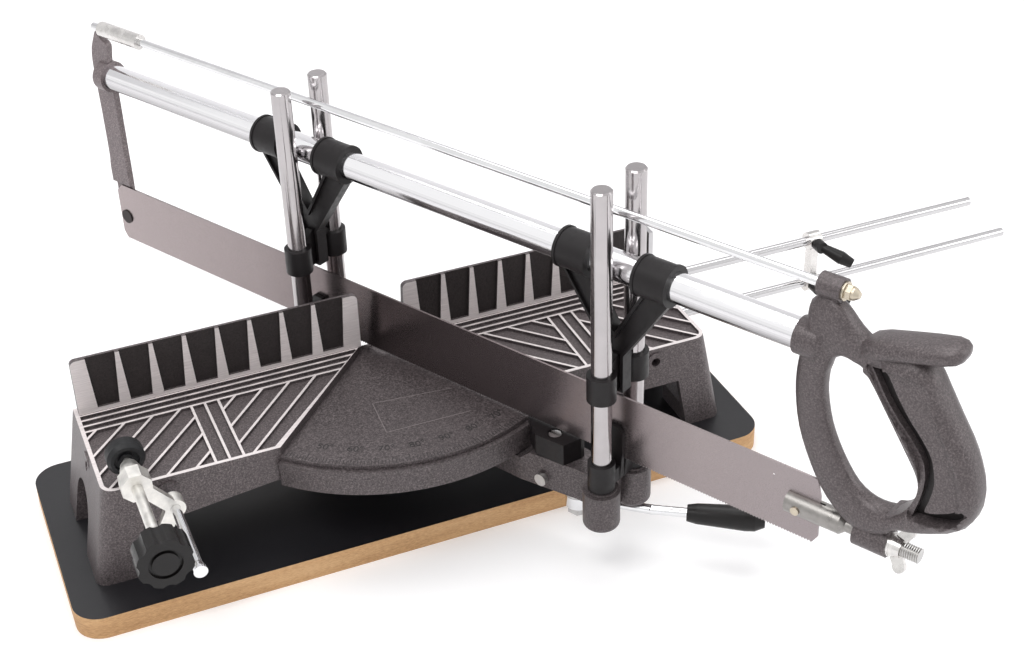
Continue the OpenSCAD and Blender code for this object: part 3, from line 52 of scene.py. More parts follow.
back = Vector((
    math.sin(AZIMUTH) * math.cos(ELEVATION),
    -math.cos(AZIMUTH) * math.cos(ELEVATION),
    math.sin(ELEVATION),
))
right = (-back).cross(Vector((0, 0, 1))).normalized()
up = right.cross(-back)
right_rolled = math.cos(ROLL) * right + math.sin(ROLL) * up
up_rolled = -math.sin(ROLL) * right + math.cos(ROLL) * up
turn = Matrix((right_rolled, up_rolled, back)).transposed()
camera_data = bpy.data.cameras.new("camera")
camera_data.sensor_width = SENSOR_MM
camera_data.lens = FOCAL_PX * SENSOR_MM / IMAGE_PX[0]
camera_data.shift_x = (IMAGE_PX[0] / 2 - CENTRE_PX[0]) / IMAGE_PX[0]
camera_data.shift_y = (CENTRE_PX[1] - IMAGE_PX[1] / 2) / IMAGE_PX[0]
camera_data.clip_end = CLIP_END
camera = bpy.data.objects.new("camera", camera_data)
bpy.context.scene.collection.objects.link(camera)
camera.matrix_world = Matrix.Translation(PLACE) @ turn.to_4x4()
bpy.context.scene.camera = camera
bpy.context.scene.view_settings.view_transform = "Standard"

# Sizes that the CAD model fixes, in metres
TABLE_Z = 0.081
PLATE_Z = 0.0755
PLATE_R = 0.1205
POCKET_Y = 0.0018
ARM_TURN = math.radians(28.7 - 90)
TEETH_Z = 0.0763
BLADE_TOP_Z = 0.1193
BLADE_T = 0.0012
BLADE_S = (-0.2435, 0.3185)
GROOVE_FLOOR = 0.003
FIT = 0.0003


# Node helpers
class Tree:
    """A material's node tree with short calls."""

    def __init__(self, name):
        self.material = bpy.data.materials.new(name)
        self.material.use_nodes = True
        self.tree = self.material.node_tree
        self.shader = self.tree.nodes["Principled BSDF"]

    def node(self, kind, **values):
        made = self.tree.nodes.new(kind)
        for key, value in values.items():
            if hasattr(made, key):
                setattr(made, key, value)
            else:
                made.inputs[key.replace("_", " ")].default_value = value
        return made

    def link(self, out, into):
        self.tree.links.new(out, into)

    def coords(self):
        return self.node("ShaderNodeTexCoord").outputs["Object"]

    def stretched(self, scale, turn_z=0.0):
        mapping = self.node("ShaderNodeMapping")
        mapping.inputs["Scale"].default_value = scale
        mapping.inputs["Rotation"].default_value = (0, 0, turn_z)
        self.link(self.coords(), mapping.inputs["Vector"])
        return mapping.outputs["Vector"]

    def noise(self, scale, detail=3.0, rough=0.55, vector=None):
        made = self.node("ShaderNodeTexNoise")
        made.inputs["Scale"].default_value = scale
        made.inputs["Detail"].default_value = detail
        made.inputs["Roughness"].default_value = rough
        self.link(vector or self.coords(), made.inputs["Vector"])
        return made.outputs["Fac"]

    def cells(self, scale, vector=None):
        made = self.node("ShaderNodeTexVoronoi", feature="SMOOTH_F1")
        made.inputs["Scale"].default_value = scale
        self.link(vector or self.coords(), made.inputs["Vector"])
        return made.outputs["Distance"]

    def ramp(self, value, stops):
        made = self.node("ShaderNodeValToRGB")
        elements = made.color_ramp.elements
        for element, (at, colour) in zip(elements, stops[:2]):
            element.position = at
            element.color = (*colour, 1)
        for at, colour in stops[2:]:
            elements.new(at).color = (*colour, 1)
        self.link(value, made.inputs["Fac"])
        return made.outputs["Color"]

    def span(self, value, low, high, to_low=0.0, to_high=1.0):
        """The value led from one range to another and held within it."""
        made = self.node(
            "ShaderNodeMapRange", From_Min=low, From_Max=high, To_Min=to_low, To_Max=to_high
        )
        self.link(value, made.inputs["Value"])
        return made.outputs["Result"]

    def maths(self, operation, a, b=None):
        made = self.node("ShaderNodeMath", operation=operation)
        for socket, value in zip(made.inputs, (a, b)):
            if value is None:
                continue
            if isinstance(value, (int, float)):
                socket.default_value = value
            else:
                self.link(value, socket)
        return made.outputs["Value"]

    def mix(self, factor, a, b):
        made = self.node("ShaderNodeMix", data_type="RGBA")
        self.link(factor, made.inputs["Factor"])
        for socket, value in ((made.inputs[6], a), (made.inputs[7], b)):
            if isinstance(value, tuple):
                socket.default_value = (*value, 1)
            else:
                self.link(value, socket)
        return made.outputs[2]

    def mix_value(self, factor, a, b):
        made = self.node("ShaderNodeMix", data_type="FLOAT")
        self.link(factor, made.inputs["Factor"])
        for socket, value in ((made.inputs[2], a), (made.inputs[3], b)):
            if isinstance(value, (int, float)):
                socket.default_value = value
            else:
                self.link(value, socket)
        return made.outputs[0]

    def bump(self, height, distance, strength=1.0):
        made = self.node("ShaderNodeBump")
        made.inputs["Strength"].default_value = strength
        made.inputs["Distance"].default_value = distance
        self.link(height, made.inputs["Height"])
        return made.outputs["Normal"]

    def set(self, **values):
        for key, value in values.items():
            socket = self.shader.inputs[key.replace("_", " ")]
            if isinstance(value, (int, float)):
                socket.default_value = value
            elif isinstance(value, tuple):
                socket.default_value = (*value, 1)
            else:
                self.link(value, socket)

    def position(self):
        """Where the point lies on its piece, in the frame's metres."""
        made = self.node("ShaderNodeSeparateXYZ")
        self.link(self.coords(), made.inputs["Vector"])
        return made.outputs

    def facing(self):
        """Which way the face looks, turned with its piece."""
        made = self.node("ShaderNodeSeparateXYZ")
        turned = self.node(
            "ShaderNodeVectorTransform", vector_type="NORMAL", convert_from="WORLD", convert_to="OBJECT"
        )
        self.link(self.node("ShaderNodeNewGeometry").outputs["True Normal"], turned.inputs["Vector"])
        self.link(turned.outputs["Vector"], made.inputs["Vector"])
        return made.outputs

    def along_arm(self, xyz):
        """The share of a vector that lies along the arm."""
        return self.maths(
            "ADD",
            self.maths("MULTIPLY", xyz["X"], math.cos(ARM_TURN)),
            self.maths("MULTIPLY", xyz["Y"], math.sin(ARM_TURN)),
        )

    def across_arm(self, xyz):
        """The share of a vector that lies across the arm."""
        return self.maths(
            "SUBTRACT",
            self.maths("MULTIPLY", xyz["Y"], math.cos(ARM_TURN)),
            self.maths("MULTIPLY", xyz["X"], math.sin(ARM_TURN)),
        )

    def compare(self, value, at, width):
        """1 where the value is within width of at, else 0."""
        made = self.node("ShaderNodeMath", operation="COMPARE")
        self.link(value, made.inputs[0])
        made.inputs[1].default_value = at
        made.inputs[2].default_value = width
        return made.outputs["Value"]


# Hammered paint, with bright machined faces where the casting is ground
PAINT_SHADES = ((0.028, 0.0225, 0.023), (0.094, 0.078, 0.080), (0.215, 0.182, 0.185))
MACHINED_DARK = (0.66, 0.60, 0.595)
MACHINED_LIGHT = (0.92, 0.86, 0.85)
POCKET_DARK = (0.017, 0.0135, 0.0135)
PAINT_METALLIC = 0.3
MACHINED_METALLIC = 0.35
SPECK_SCALE = 960
FINE_SCALE = 2600
CLOUD_SCALE = 22
LUMP_SCALE = 520
SPECK_SPREAD = 0.13
PAINT_DEPTH = 0.0003
SQUARE = 0.9
FLOOR_SQUARE = 0.99
GROOVE_PAINTED_SHADE = 0.55
POCKET_LIFT = 2.2
STREAK_SCALE = 60
STREAK_STRETCH = (1, 26, 26)


def hammered(name, machined=False, grain=1.0, tone=1.0, grooved=False):
    """Speckled paint; grain makes the speckle stronger, tone makes it lighter."""
    t = Tree(name)
    blotch = t.noise(SPECK_SCALE, 4, 0.6)
    fine = t.noise(FINE_SCALE, 2, 0.5)
    cloud = t.noise(CLOUD_SCALE, 2, 0.5)
    speck = t.maths("ADD", t.maths("MULTIPLY", blotch, 0.7), t.maths("MULTIPLY", fine, 0.3))
    dark, mid, light = (tuple(tone * c for c in shade) for shade in PAINT_SHADES)
    spread = SPECK_SPREAD / grain
    paint = t.ramp(speck, [(0.5 - spread, dark), (0.5 + spread, light), (0.50, mid)])
    paint = t.mix(t.span(cloud, 0.3, 0.7, 0.0, 0.35), paint, mid)
    rough = t.span(blotch, 0.3, 0.7, 0.34, 0.5)
    height = t.maths("ADD", blotch, t.maths("MULTIPLY", t.cells(LUMP_SCALE), 0.8))
    t.set(Metallic=PAINT_METALLIC)
    if grooved:
        # painted shade: the floor of the groove on each side of the handle is darkened
        side_on = t.maths("ABSOLUTE", t.across_arm(t.facing()))
        depth = t.maths("ABSOLUTE", t.across_arm(t.position()))
        flat = t.maths("GREATER_THAN", side_on, FLOOR_SQUARE)
        shaded_groove_floor = t.maths("MULTIPLY", flat, t.compare(depth, GROOVE_FLOOR, FIT))
        paint = t.mix(shaded_groove_floor, paint, tuple(GROOVE_PAINTED_SHADE * c for c in dark))
    if not machined:
        t.set(Base_Color=paint, Roughness=rough, Normal=t.bump(height, PAINT_DEPTH, 0.6 * grain))
        return t.material
    place = t.position()
    face = t.facing()
    upward = t.maths("GREATER_THAN", face["Z"], SQUARE)
    forward = t.maths("LESS_THAN", face["Y"], -SQUARE)
    in_fence = t.maths("GREATER_THAN", place["Z"], TABLE_Z + FIT)
    rib = t.maths("MULTIPLY", upward, t.compare(place["Z"], TABLE_Z, FIT))
    front = t.maths("MULTIPLY", forward, in_fence)
    fin = t.maths("MULTIPLY", front, t.compare(place["Y"], 0.0, FIT))
    pocket = t.maths("MULTIPLY", front, t.compare(place["Y"], POCKET_Y, FIT))
    mask = t.maths("MAXIMUM", rib, fin)
    streaks = t.noise(STREAK_SCALE, 5, 0.7, t.stretched(STREAK_STRETCH))
    metal = t.ramp(streaks, [(0.30, MACHINED_DARK), (0.72, MACHINED_LIGHT)])
    sunk = t.mix(t.span(speck, 0.35, 0.65), POCKET_DARK, tuple(POCKET_LIFT * c for c in POCKET_DARK))
    t.set(
        Base_Color=t.mix(mask, t.mix(pocket, paint, sunk), metal),
        Metallic=t.mix_value(mask, PAINT_METALLIC, MACHINED_METALLIC),
        Roughness=t.mix_value(mask, rough, t.span(streaks, 0.3, 0.7, 0.30, 0.46)),
    )
    depth = t.mix_value(mask, height, t.maths("MULTIPLY", streaks, 0.2))
    t.set(Normal=t.bump(depth, PAINT_DEPTH, 0.7))
    return t.material


# Plated, plain and moulded looks
SMUDGE_SCALE = 45
POLISH_SCALE = 900
POLISH_DEPTH = 0.00002
TUBE_STRETCH = (0.4, 1, 1)
TUBE_PAINTED_SHADE = [(0.0, (0.20, 0.195, 0.20)), (1.0, (0.90, 0.895, 0.91)), (0.45, (0.50, 0.49, 0.50))]
PAINTED_SHADE_SPAN = (-0.75, 0.55)
PLATING_SCALE = 160
PLATING_GRAIN = 700
MOULD_SCALE = 60
SHEEN_SCALE = 300
SURFACE_DEPTH = 0.00008


def chrome(name, base=(0.80, 0.80, 0.81), rough=0.09):
    t = Tree(name)
    smudge = t.noise(SMUDGE_SCALE, 4, 0.6)
    t.set(
        Base_Color=t.mix(t.span(smudge, 0.35, 0.7), base, tuple(0.9 * c for c in base)),
        Metallic=1.0,
        Roughness=t.span(smudge, 0.3, 0.75, rough * 0.7, rough * 1.6),
        Normal=t.bump(t.noise(POLISH_SCALE, 2), POLISH_DEPTH, 0.3),
    )
    return t.material


def tube_chrome(name):
    """Chrome with painted reflection and shade: lighter on faces that look up, greyer on its lower
    half.
    """
    t = Tree(name)
    smudge = t.noise(SMUDGE_SCALE, 4, 0.6, t.stretched(TUBE_STRETCH, ARM_TURN))
    # painted reflection and shade: the colour runs from light on upward faces to grey on downward faces
    upward = t.span(t.facing()["Z"], *PAINTED_SHADE_SPAN)
    t.set(
        Base_Color=t.ramp(upward, TUBE_PAINTED_SHADE),
        Metallic=1.0,
        Roughness=t.span(smudge, 0.3, 0.75, 0.08, 0.2),
        Normal=t.bump(t.noise(POLISH_SCALE, 2), POLISH_DEPTH, 0.3),
    )
    return t.material


def zinc(name, base, rough=0.3):
    t = Tree(name)
    cloud = t.noise(PLATING_SCALE, 4, 0.6)
    t.set(
        Base_Color=t.ramp(cloud, [(0.3, tuple(0.75 * c for c in base)), (0.7, base)]),
        Metallic=1.0,
        Roughness=t.span(cloud, 0.3, 0.7, rough * 0.75, rough * 1.3),
        Normal=t.bump(t.noise(PLATING_GRAIN, 3), SURFACE_DEPTH, 0.5),
    )
    return t.material


def plastic(name, base=(0.0075, 0.006, 0.0065), rough=0.44, grain=1300):
    t = Tree(name)
    cloud = t.noise(MOULD_SCALE, 3)
    t.set(
        Base_Color=t.mix(cloud, base, tuple(1.5 * c for c in base)),
        Specular_IOR_Level=0.3,
        Roughness=t.span(t.noise(SHEEN_SCALE, 3), 0.3, 0.7, rough * 0.8, rough * 1.2),
        Normal=t.bump(t.noise(grain, 3), SURFACE_DEPTH, 0.6),
    )
    return t.material


# Blade steel, with painted reflection: lighter towards its ends and darker towards the middle of its
# length
PAINTED_REFLECTION_S = (-0.25, 0.32)
PAINTED_REFLECTION = [
    (0.0, (0.42, 0.36, 0.36)), (1.0, (0.36, 0.315, 0.32)), (0.25, (0.34, 0.29, 0.29)),
    (0.42, (0.165, 0.135, 0.137)), (0.68, (0.20, 0.166, 0.17)), (0.86, (0.37, 0.32, 0.32)),
]
STREAKS = [(0.25, (0.55, 0.55, 0.55)), (0.75, (1.0, 1.0, 1.0))]
STREAK_SHARE = 0.6
GRIND_SCALE = 90
GRIND_STRETCH = (0.5, 30, 30)
GRIND_DEPTH = 0.00004
TARNISH_SCALE = 14


def blade_steel(name):
    t = Tree(name)
    grain = t.noise(GRIND_SCALE, 6, 0.7, t.stretched(GRIND_STRETCH, -ARM_TURN))
    cloud = t.noise(TARNISH_SCALE, 3, 0.6)
    # painted reflection: a colour ramp along the arm, light at both ends and dark in the middle
    painted_reflection = t.ramp(t.span(t.along_arm(t.position()), *PAINTED_REFLECTION_S), PAINTED_REFLECTION)
    streak = t.ramp(grain, STREAKS)
    tint = t.node("ShaderNodeMix", data_type="RGBA", blend_type="MULTIPLY")
    tint.inputs["Factor"].default_value = STREAK_SHARE
    t.link(painted_reflection, tint.inputs[6])
    t.link(streak, tint.inputs[7])
    t.set(
        Base_Color=tint.outputs[2],
        Metallic=0.9,
        Roughness=t.maths(
            "ADD", t.span(grain, 0.3, 0.7, 0.20, 0.30), t.span(cloud, 0.3, 0.7, 0.0, 0.08)
        ),
        Normal=t.bump(grain, GRIND_DEPTH, 0.5),
    )
    return t.material


# Board: black film on top, bare fibres at its edge
FIBRE_SCALE = 900
FIBRE_STRETCH = (0.35, 0.35, 1.6)
BAND_SCALE = 60
BAND_STRETCH = (0.25, 0.25, 2.2)
FILM_SCALE = 500
FILM_BLACK = (0.0085, 0.008, 0.010)
EDGE_TANS = [(0.32, (0.34, 0.18, 0.075)), (0.68, (0.68, 0.44, 0.235)), (0.5, (0.54, 0.32, 0.15))]
BOARD_DEPTH = 0.0003


def board(name):
    t = Tree(name)
    face = t.facing()
    side = t.maths("LESS_THAN", t.maths("ABSOLUTE", face["Z"]), 0.5)
    fibre = t.noise(FIBRE_SCALE, 4, 0.7, t.stretched(FIBRE_STRETCH))
    band = t.noise(BAND_SCALE, 3, 0.6, t.stretched(BAND_STRETCH))
    fibres = t.maths("ADD", t.maths("MULTIPLY", fibre, 0.6), t.maths("MULTIPLY", band, 0.4))
    edge = t.ramp(fibres, EDGE_TANS)
    film = t.noise(FILM_SCALE, 3)
    t.set(
        Base_Color=t.mix(side, FILM_BLACK, edge),
        Roughness=t.mix_value(side, t.span(film, 0.3, 0.7, 0.30, 0.40), 0.75),
        Normal=t.bump(t.mix_value(side, t.maths("MULTIPLY", film, 0.15), fibres), BOARD_DEPTH, 0.5),
    )
    return t.material


CASTING = hammered("casting", True, grain=0.8)
PLATE = hammered("plate_paint", grain=0.9, tone=0.9)
ARM = hammered("arm_paint", grain=0.8, tone=0.85)
BRACKET = hammered("bracket_paint", grain=0.6, tone=1.9)
HANDLE = hammered("handle_paint", grain=0.6, tone=0.97, grooved=True)
CHROME = chrome("chrome")
TUBE = tube_chrome("tube_chrome")
ROD = chrome("rod_chrome", (0.60, 0.59, 0.60), 0.14)
POST = chrome("post_chrome", (0.47, 0.445, 0.45), 0.15)
BRIGHT_ZINC = zinc("bright_zinc", (0.78, 0.76, 0.74), 0.26)
STEEL = zinc("plain_steel", (0.60, 0.59, 0.58), 0.32)
PIN_BLACK = zinc("blackened_steel", (0.055, 0.048, 0.048), 0.4)
DARK_STEEL = zinc("dark_steel", (0.34, 0.325, 0.31), 0.34)
CREAM_ZINC = zinc("cream_zinc", (0.86, 0.84, 0.80), 0.4)
YELLOW_ZINC = zinc("yellow_zinc", (0.62, 0.55, 0.44), 0.34)
BLACK = plastic("black_plastic")
GRIP_BLACK = plastic("grip_plastic", (0.0065, 0.0055, 0.0055), 0.36)
RUBBER = plastic("rubber", (0.009, 0.009, 0.010), 0.55, 700)
BLADE = blade_steel("blade_steel")
BOARD = board("board")

LOOKS = {
    CASTING: ["table_left", "table_right", "fence_left", "fence_right"],
    PLATE: ["sector", "pivot_bolt"],
    ARM: ["arm_casting"],
    BRACKET: ["back_bracket"],
    HANDLE: ["handle"],
    BOARD: ["base_board"],
    TUBE: ["frame_tube"],
    POST: ["front_left_post", "front_right_post", "back_left_post", "back_right_post"],
    CHROME: ["tension_rod", "lock_lever", "clamp_rod"],
    ROD: ["stop_rail", "stop_rod"],
    CREAM_ZINC: ["clamp_bracket", "clamp_spindle"],
    BRIGHT_ZINC: ["stop_bracket", "clevis_washer", "rod_collar", "wing_nut"],
    STEEL: ["base_screws", "index_screw", "arm_stop_screw", "lock_stud", "pivot_nut"],
    DARK_STEEL: ["clevis"],
    PIN_BLACK: ["blade_pin"],
    YELLOW_ZINC: ["rod_nut", "rod_washer", "clevis_pin"],
    BLACK: ["front_guide", "back_guide", "index_block", "back_carrier", "front_carrier"],
    GRIP_BLACK: ["lock_grip", "clamp_knob", "upper_stop_lever", "lower_stop_lever"],
    RUBBER: ["clamp_pad"],
    BLADE: ["blade"],
}
for material, names in LOOKS.items():
    for name in names:
        mesh = nodes[name].data
        mesh.materials.clear()
        mesh.materials.append(material)


# New pieces
def finish_piece(name, mesh_or_bmesh, material, body):
    """An object made of the mesh, dressed and riding on its body."""
    if isinstance(mesh_or_bmesh, bmesh.types.BMesh):
        mesh = bpy.data.meshes.new(name)
        mesh_or_bmesh.to_mesh(mesh)
        mesh_or_bmesh.free()
    else:
        mesh = mesh_or_bmesh
    made = bpy.data.objects.new(name, mesh)
    bpy.context.scene.collection.objects.link(made)
    mesh.materials.clear()
    mesh.materials.append(material)
    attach(made, body)
    return made


def on_arm(s, w, z):
    """A place in the arm's own frame, in metres."""
    return Vector((
        s * math.cos(ARM_TURN) - w * math.sin(ARM_TURN),
        s * math.sin(ARM_TURN) + w * math.cos(ARM_TURN),
        z,
    ))


def scratch_object(data):
    """A passing object, which final_mesh removes."""
    made = bpy.data.objects.new("scratch", data)
    bpy.context.scene.collection.objects.link(made)
    return made


def final_mesh(*scratches):
    """The first scratch object's mesh with its modifiers; all of them are removed."""
    bpy.context.view_layer.update()
    graph = bpy.context.evaluated_depsgraph_get()
    made = bpy.data.meshes.new_from_object(scratches[0].evaluated_get(graph))
    for item in scratches:
        bpy.data.objects.remove(item)
    return made


# Blade with its teeth cut, in the place of the plain one
TOOTH_PITCH = 0.0018
TOOTH_H = 0.0011
TOOTH_LEAN = 0.72
PIN_IN = 0.0065
CLEVIS_IN = 0.0115
PIN_HOLE_R = 0.00255
MARK_IN = 0.029
MARK_DOWN = 0.009
MARK_R = 0.0009
BLADE_CORNER = (BLADE_TOP_Z - TEETH_Z) / 8
BLADE_NOSE = BLADE_CORNER / 2


def blade_outline():
    """The blade's outline, with one point up and one down for each tooth."""
    lo, hi = BLADE_S
    corner = BLADE_CORNER
    points = []
    count = int((hi - lo - corner) / TOOTH_PITCH)
    start = lo + BLADE_NOSE
    for k in range(count):
        s = start + k * TOOTH_PITCH
        points += [(s, TEETH_Z + TOOTH_H), (s + TOOTH_PITCH * TOOTH_LEAN, TEETH_Z)]
    points += [
        (hi - BLADE_NOSE, TEETH_Z + TOOTH_H),
        (hi, TEETH_Z + corner),
        (hi, BLADE_TOP_Z - 2 * corner),
        (hi - BLADE_NOSE, BLADE_TOP_Z),
        (lo + corner, BLADE_TOP_Z),
        (lo, BLADE_TOP_Z - corner),
        (lo, TEETH_Z + corner),
    ]
    return points


def ring_points(s, z, radius, count=28):
    """A round hole's outline in the arm's plane."""
    return [
        (s + radius * math.cos(2 * math.pi * k / count), z + radius * math.sin(2 * math.pi * k / count))
        for k in range(count)
    ]


def extruded_plate(name, outline, holes, w0, w1, material, body):
    """A flat plate in the arm's plane, from a curve with holes."""
    curve = bpy.data.curves.new(name, "CURVE")
    curve.dimensions = "2D"
    curve.fill_mode = "BOTH"
    curve.extrude = (w1 - w0) / 2
    for loop in [outline] + holes:
        spline = curve.splines.new("POLY")
        spline.points.add(len(loop) - 1)
        for point, (s, z) in zip(spline.points, loop):
            point.co = (s, z, 0, 1)
        spline.use_cyclic_u = True
    mesh = final_mesh(scratch_object(curve))
    middle = (w0 + w1) / 2
    for v in mesh.vertices:
        v.co = on_arm(v.co.x, middle - v.co.z, v.co.y)
    mesh.name = name
    return finish_piece(name, mesh, material, body)


TENSION_Z = (TEETH_Z + BLADE_TOP_Z) / 2
PIN_Z = TENSION_Z - (BLADE_TOP_Z - TEETH_Z) / 14
blade = extruded_plate(
    "toothed_blade",
    blade_outline(),
    [
        ring_points(BLADE_S[0] + PIN_IN, PIN_Z, PIN_HOLE_R),
        ring_points(BLADE_S[1] - CLEVIS_IN, TENSION_Z, PIN_HOLE_R),
        ring_points(BLADE_S[1] - MARK_IN, BLADE_TOP_Z - MARK_DOWN, MARK_R),
    ],
    -BLADE_T / 2, BLADE_T / 2, BLADE, "saw_frame",
)
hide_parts("blade")


# Handle with a deeper groove, a rim and a flat panel beside its opening.
# The outlines are given in shares of GRIP_UNIT from a corner of the grip.
GRIP_S = 0.299
GRIP_Z = 0.1008
GRIP_UNIT = 0.1
GROOVE = [
    (0.415, 1.055), (0.45, 0.995), (0.518, 0.88), (0.603, 0.77), (0.673, 0.695), (0.728, 0.62),
    (0.75, 0.55), (0.752, 0.465), (0.735, 0.375), (0.715, 0.29), (0.725, 0.262), (0.77, 0.265),
    (0.87, 0.285), (0.97, 0.325), (1.01, 0.395), (0.985, 0.425), (0.94, 0.39), (0.86, 0.348),
    (0.81, 0.338), (0.825, 0.41), (0.84, 0.5), (0.835, 0.57), (0.808, 0.67), (0.745, 0.76),
    (0.675, 0.84), (0.60, 0.945), (0.53, 1.055), (0.46, 1.06),
]
PANEL = [
    (0.50, 1.058), (0.57, 0.92), (0.64, 0.81), (0.71, 0.73), (0.77, 0.65), (0.795, 0.56),
    (0.797, 0.48), (0.785, 0.39), (0.785, 0.31), (0.86, 0.318), (0.945, 0.352),
    (0.975, 0.43), (0.965, 0.53), (0.92, 0.67), (0.86, 0.79), (0.79, 0.92), (0.745, 1.04),
    (0.66, 1.075),
]
RIM = [
    (0.392, 1.0), (0.425, 0.975), (0.472, 0.912), (0.542, 0.807), (0.652, 0.642), (0.737, 0.502),
    (0.747, 0.4), (0.707, 0.292), (0.657, 0.232), (0.60, 0.202), (0.61, 0.15), (0.68, 0.19),
    (0.735, 0.26), (0.747, 0.30), (0.766, 0.375), (0.78, 0.47), (0.777, 0.555), (0.752, 0.63),
    (0.692, 0.71), (0.622, 0.785), (0.537, 0.89), (0.47, 1.0), (0.43, 1.06), (0.40, 1.05),
]
PANEL_FLOOR = 0.0093
RIM_HALF = 0.0072
CUT_REACH = 0.03
WELD = 1e-6
SHARP_DEGREES = 30


def rounded(shares, steps=4):
    """The same closed outline led smoothly through its points."""
    made = []
    for k in range(len(shares)):
        a, b, c, d = (shares[(k + i) % len(shares)] for i in (-1, 0, 1, 2))
        for step in range(steps):
            u = step / steps
            made.append(
                tuple(
                    b[i]
                    + 0.5 * u * (c[i] - a[i])
                    + u * u * (a[i] - 2.5 * b[i] + 2 * c[i] - 0.5 * d[i])
                    + u * u * u * (1.5 * (b[i] - c[i]) + 0.5 * (d[i] - a[i]))
                    for i in (0, 1)
                )
            )
    return made


def prism(name, outline, w0, w1):
    """A closed block over an outline given in shares of the grip."""
    shares = rounded(outline)
    bm = bmesh.new()
    low, high = (
        [bm.verts.new(on_arm(GRIP_S + x * GRIP_UNIT, w, GRIP_Z + z * GRIP_UNIT)) for x, z in shares]
        for w in (w0, w1)
    )
    bm.faces.new(low)
    bm.faces.new(list(reversed(high)))
    for k in range(len(shares)):
        n = (k + 1) % len(shares)
        bm.faces.new((low[n], low[k], high[k], high[n]))
    bmesh.ops.recalc_face_normals(bm, faces=bm.faces)
    mesh = bpy.data.meshes.new(name)
    bm.to_mesh(mesh)
    bm.free()
    return mesh


def combined(mesh, tool_mesh, operation):
    """The mesh cut by a tool, or joined with it."""
    target = scratch_object(mesh)
    tool = scratch_object(tool_mesh)
    modifier = target.modifiers.new("carve", "BOOLEAN")
    modifier.operation = operation
    modifier.solver = "EXACT"
    modifier.object = tool
    return final_mesh(target, tool)


def carved_handle():
    """The CAD handle with its groove and panel cut from both sides, and its rim added."""
    mesh = nodes["handle"].data.copy()
    mesh.transform(nodes["handle"].matrix_world)
    welded = bmesh.new()
    welded.from_mesh(mesh)
    bmesh.ops.remove_doubles(welded, verts=welded.verts, dist=WELD)
    welded.to_mesh(mesh)
    welded.free()
    for outline, floor in ((GROOVE, GROOVE_FLOOR), (PANEL, PANEL_FLOOR)):
        for w0, w1 in ((-CUT_REACH, -floor), (floor, CUT_REACH)):
            mesh = combined(mesh, prism("cut_tool", outline, w0, w1), "DIFFERENCE")
    mesh = combined(mesh, prism("rim_tool", RIM, -RIM_HALF, RIM_HALF), "UNION")
    mesh.shade_smooth()
    mesh.set_sharp_from_angle(angle=math.radians(SHARP_DEGREES))
    scratch = scratch_object(mesh)
    scratch.modifiers.new("weighted", "WEIGHTED_NORMAL").keep_sharp = True
    return final_mesh(scratch)


handle = finish_piece("carved_handle", carved_handle(), HANDLE, "saw_frame")
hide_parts("handle")


# Degree scale on the plate: ticks and numerals
INK_SCALE = 900
INK_LIFT = 1.6


def ink(name, base):
    t = Tree(name)
    t.set(
        Base_Color=t.mix(t.noise(INK_SCALE, 3), base, tuple(INK_LIFT * c for c in base)),
        Roughness=0.5,
        Metallic=0.2,
    )
    return t.material


INK = ink("scale_ink", (0.02, 0.018, 0.018))
SCRIBE = ink("scribed_line", (0.15, 0.13, 0.13))
INK_H = 0.00012
TICK_IN = 0.0008
TICK_W = 0.00035
TICK_L = {10: 0.0068, 5: 0.0052, 1: 0.0036}
TICK_DEGREES = range(-46, 47)


def flat_bar(bm, a, b, width):
    """A thin bar from a to b, half sunk in the plate."""
    along = (b - a).normalized()
    side = Vector((-along.y, along.x, 0)) * width / 2
    low = [Vector((p.x, p.y, PLATE_Z - INK_H)) for p in (a - side, b - side, b + side, a + side)]
    high = [p + Vector((0, 0, 2 * INK_H)) for p in low]
    corners = [bm.verts.new(p) for p in low + high]
    for quad in ((3, 2, 1, 0), (4, 5, 6, 7), (0, 1, 5, 4), (1, 2, 6, 5), (2, 3, 7, 6), (3, 0, 4, 7)):
        bm.faces.new([corners[k] for k in quad])


def polar(radius, degrees):
    """A place on the plate, with the angle counted from straight ahead."""
    a = math.radians(degrees)
    return Vector((radius * math.sin(a), -radius * math.cos(a), 0))


ticks = bmesh.new()
for degree in TICK_DEGREES:
    length = next(long for step, long in TICK_L.items() if degree % step == 0)
    outer = PLATE_R - TICK_IN
    flat_bar(ticks, polar(outer, degree), polar(outer - length, degree), TICK_W)
finish_piece("scale_ticks", ticks, INK, "base")

RIGHT_ANGLE = 90
NUMERAL_LEAD = 3.5
NUMERAL_H = 0.0072
NUMERAL_IN = 0.0135
NUMERAL_DEGREES = range(-40, 41, 10)
for degree in NUMERAL_DEGREES:
    text = bpy.data.curves.new("numeral", "FONT")
    text.body = f"{RIGHT_ANGLE - abs(degree)}°"
    text.size = NUMERAL_H
    text.align_x = "CENTER"
    text.extrude = INK_H
    mesh = final_mesh(scratch_object(text))
    angle = degree + NUMERAL_LEAD
    spot = polar(PLATE_R - NUMERAL_IN, angle) + Vector((0, 0, PLATE_Z))
    mesh.transform(Matrix.Translation(spot) @ Matrix.Rotation(math.radians(angle), 4, "Z"))
    finish_piece(f"numeral_{degree - NUMERAL_DEGREES[0]}", mesh, INK, "base")

# Blank panel scribed on the plate
SCRIBE_W = 0.0005
SCRIBE_PATH = [(0.027, -0.0594), (-0.0228, -0.0544), (-0.0247, -0.086), (0.0285, -0.0865)]
panel = bmesh.new()
for a, b in zip(SCRIBE_PATH, SCRIBE_PATH[1:]):
    flat_bar(panel, Vector((*a, 0)), Vector((*b, 0)), SCRIBE_W)
finish_piece("scribed_panel", panel, SCRIBE, "base")


# Threaded end of the tensioner
THREAD_S = (0.3676, 0.3771)
THREAD_R = 0.0043
THREAD_DEPTH = 0.0005
THREAD_PITCH = 0.00125
THREAD_SIDES = 32
ROWS_PER_TURN = 12


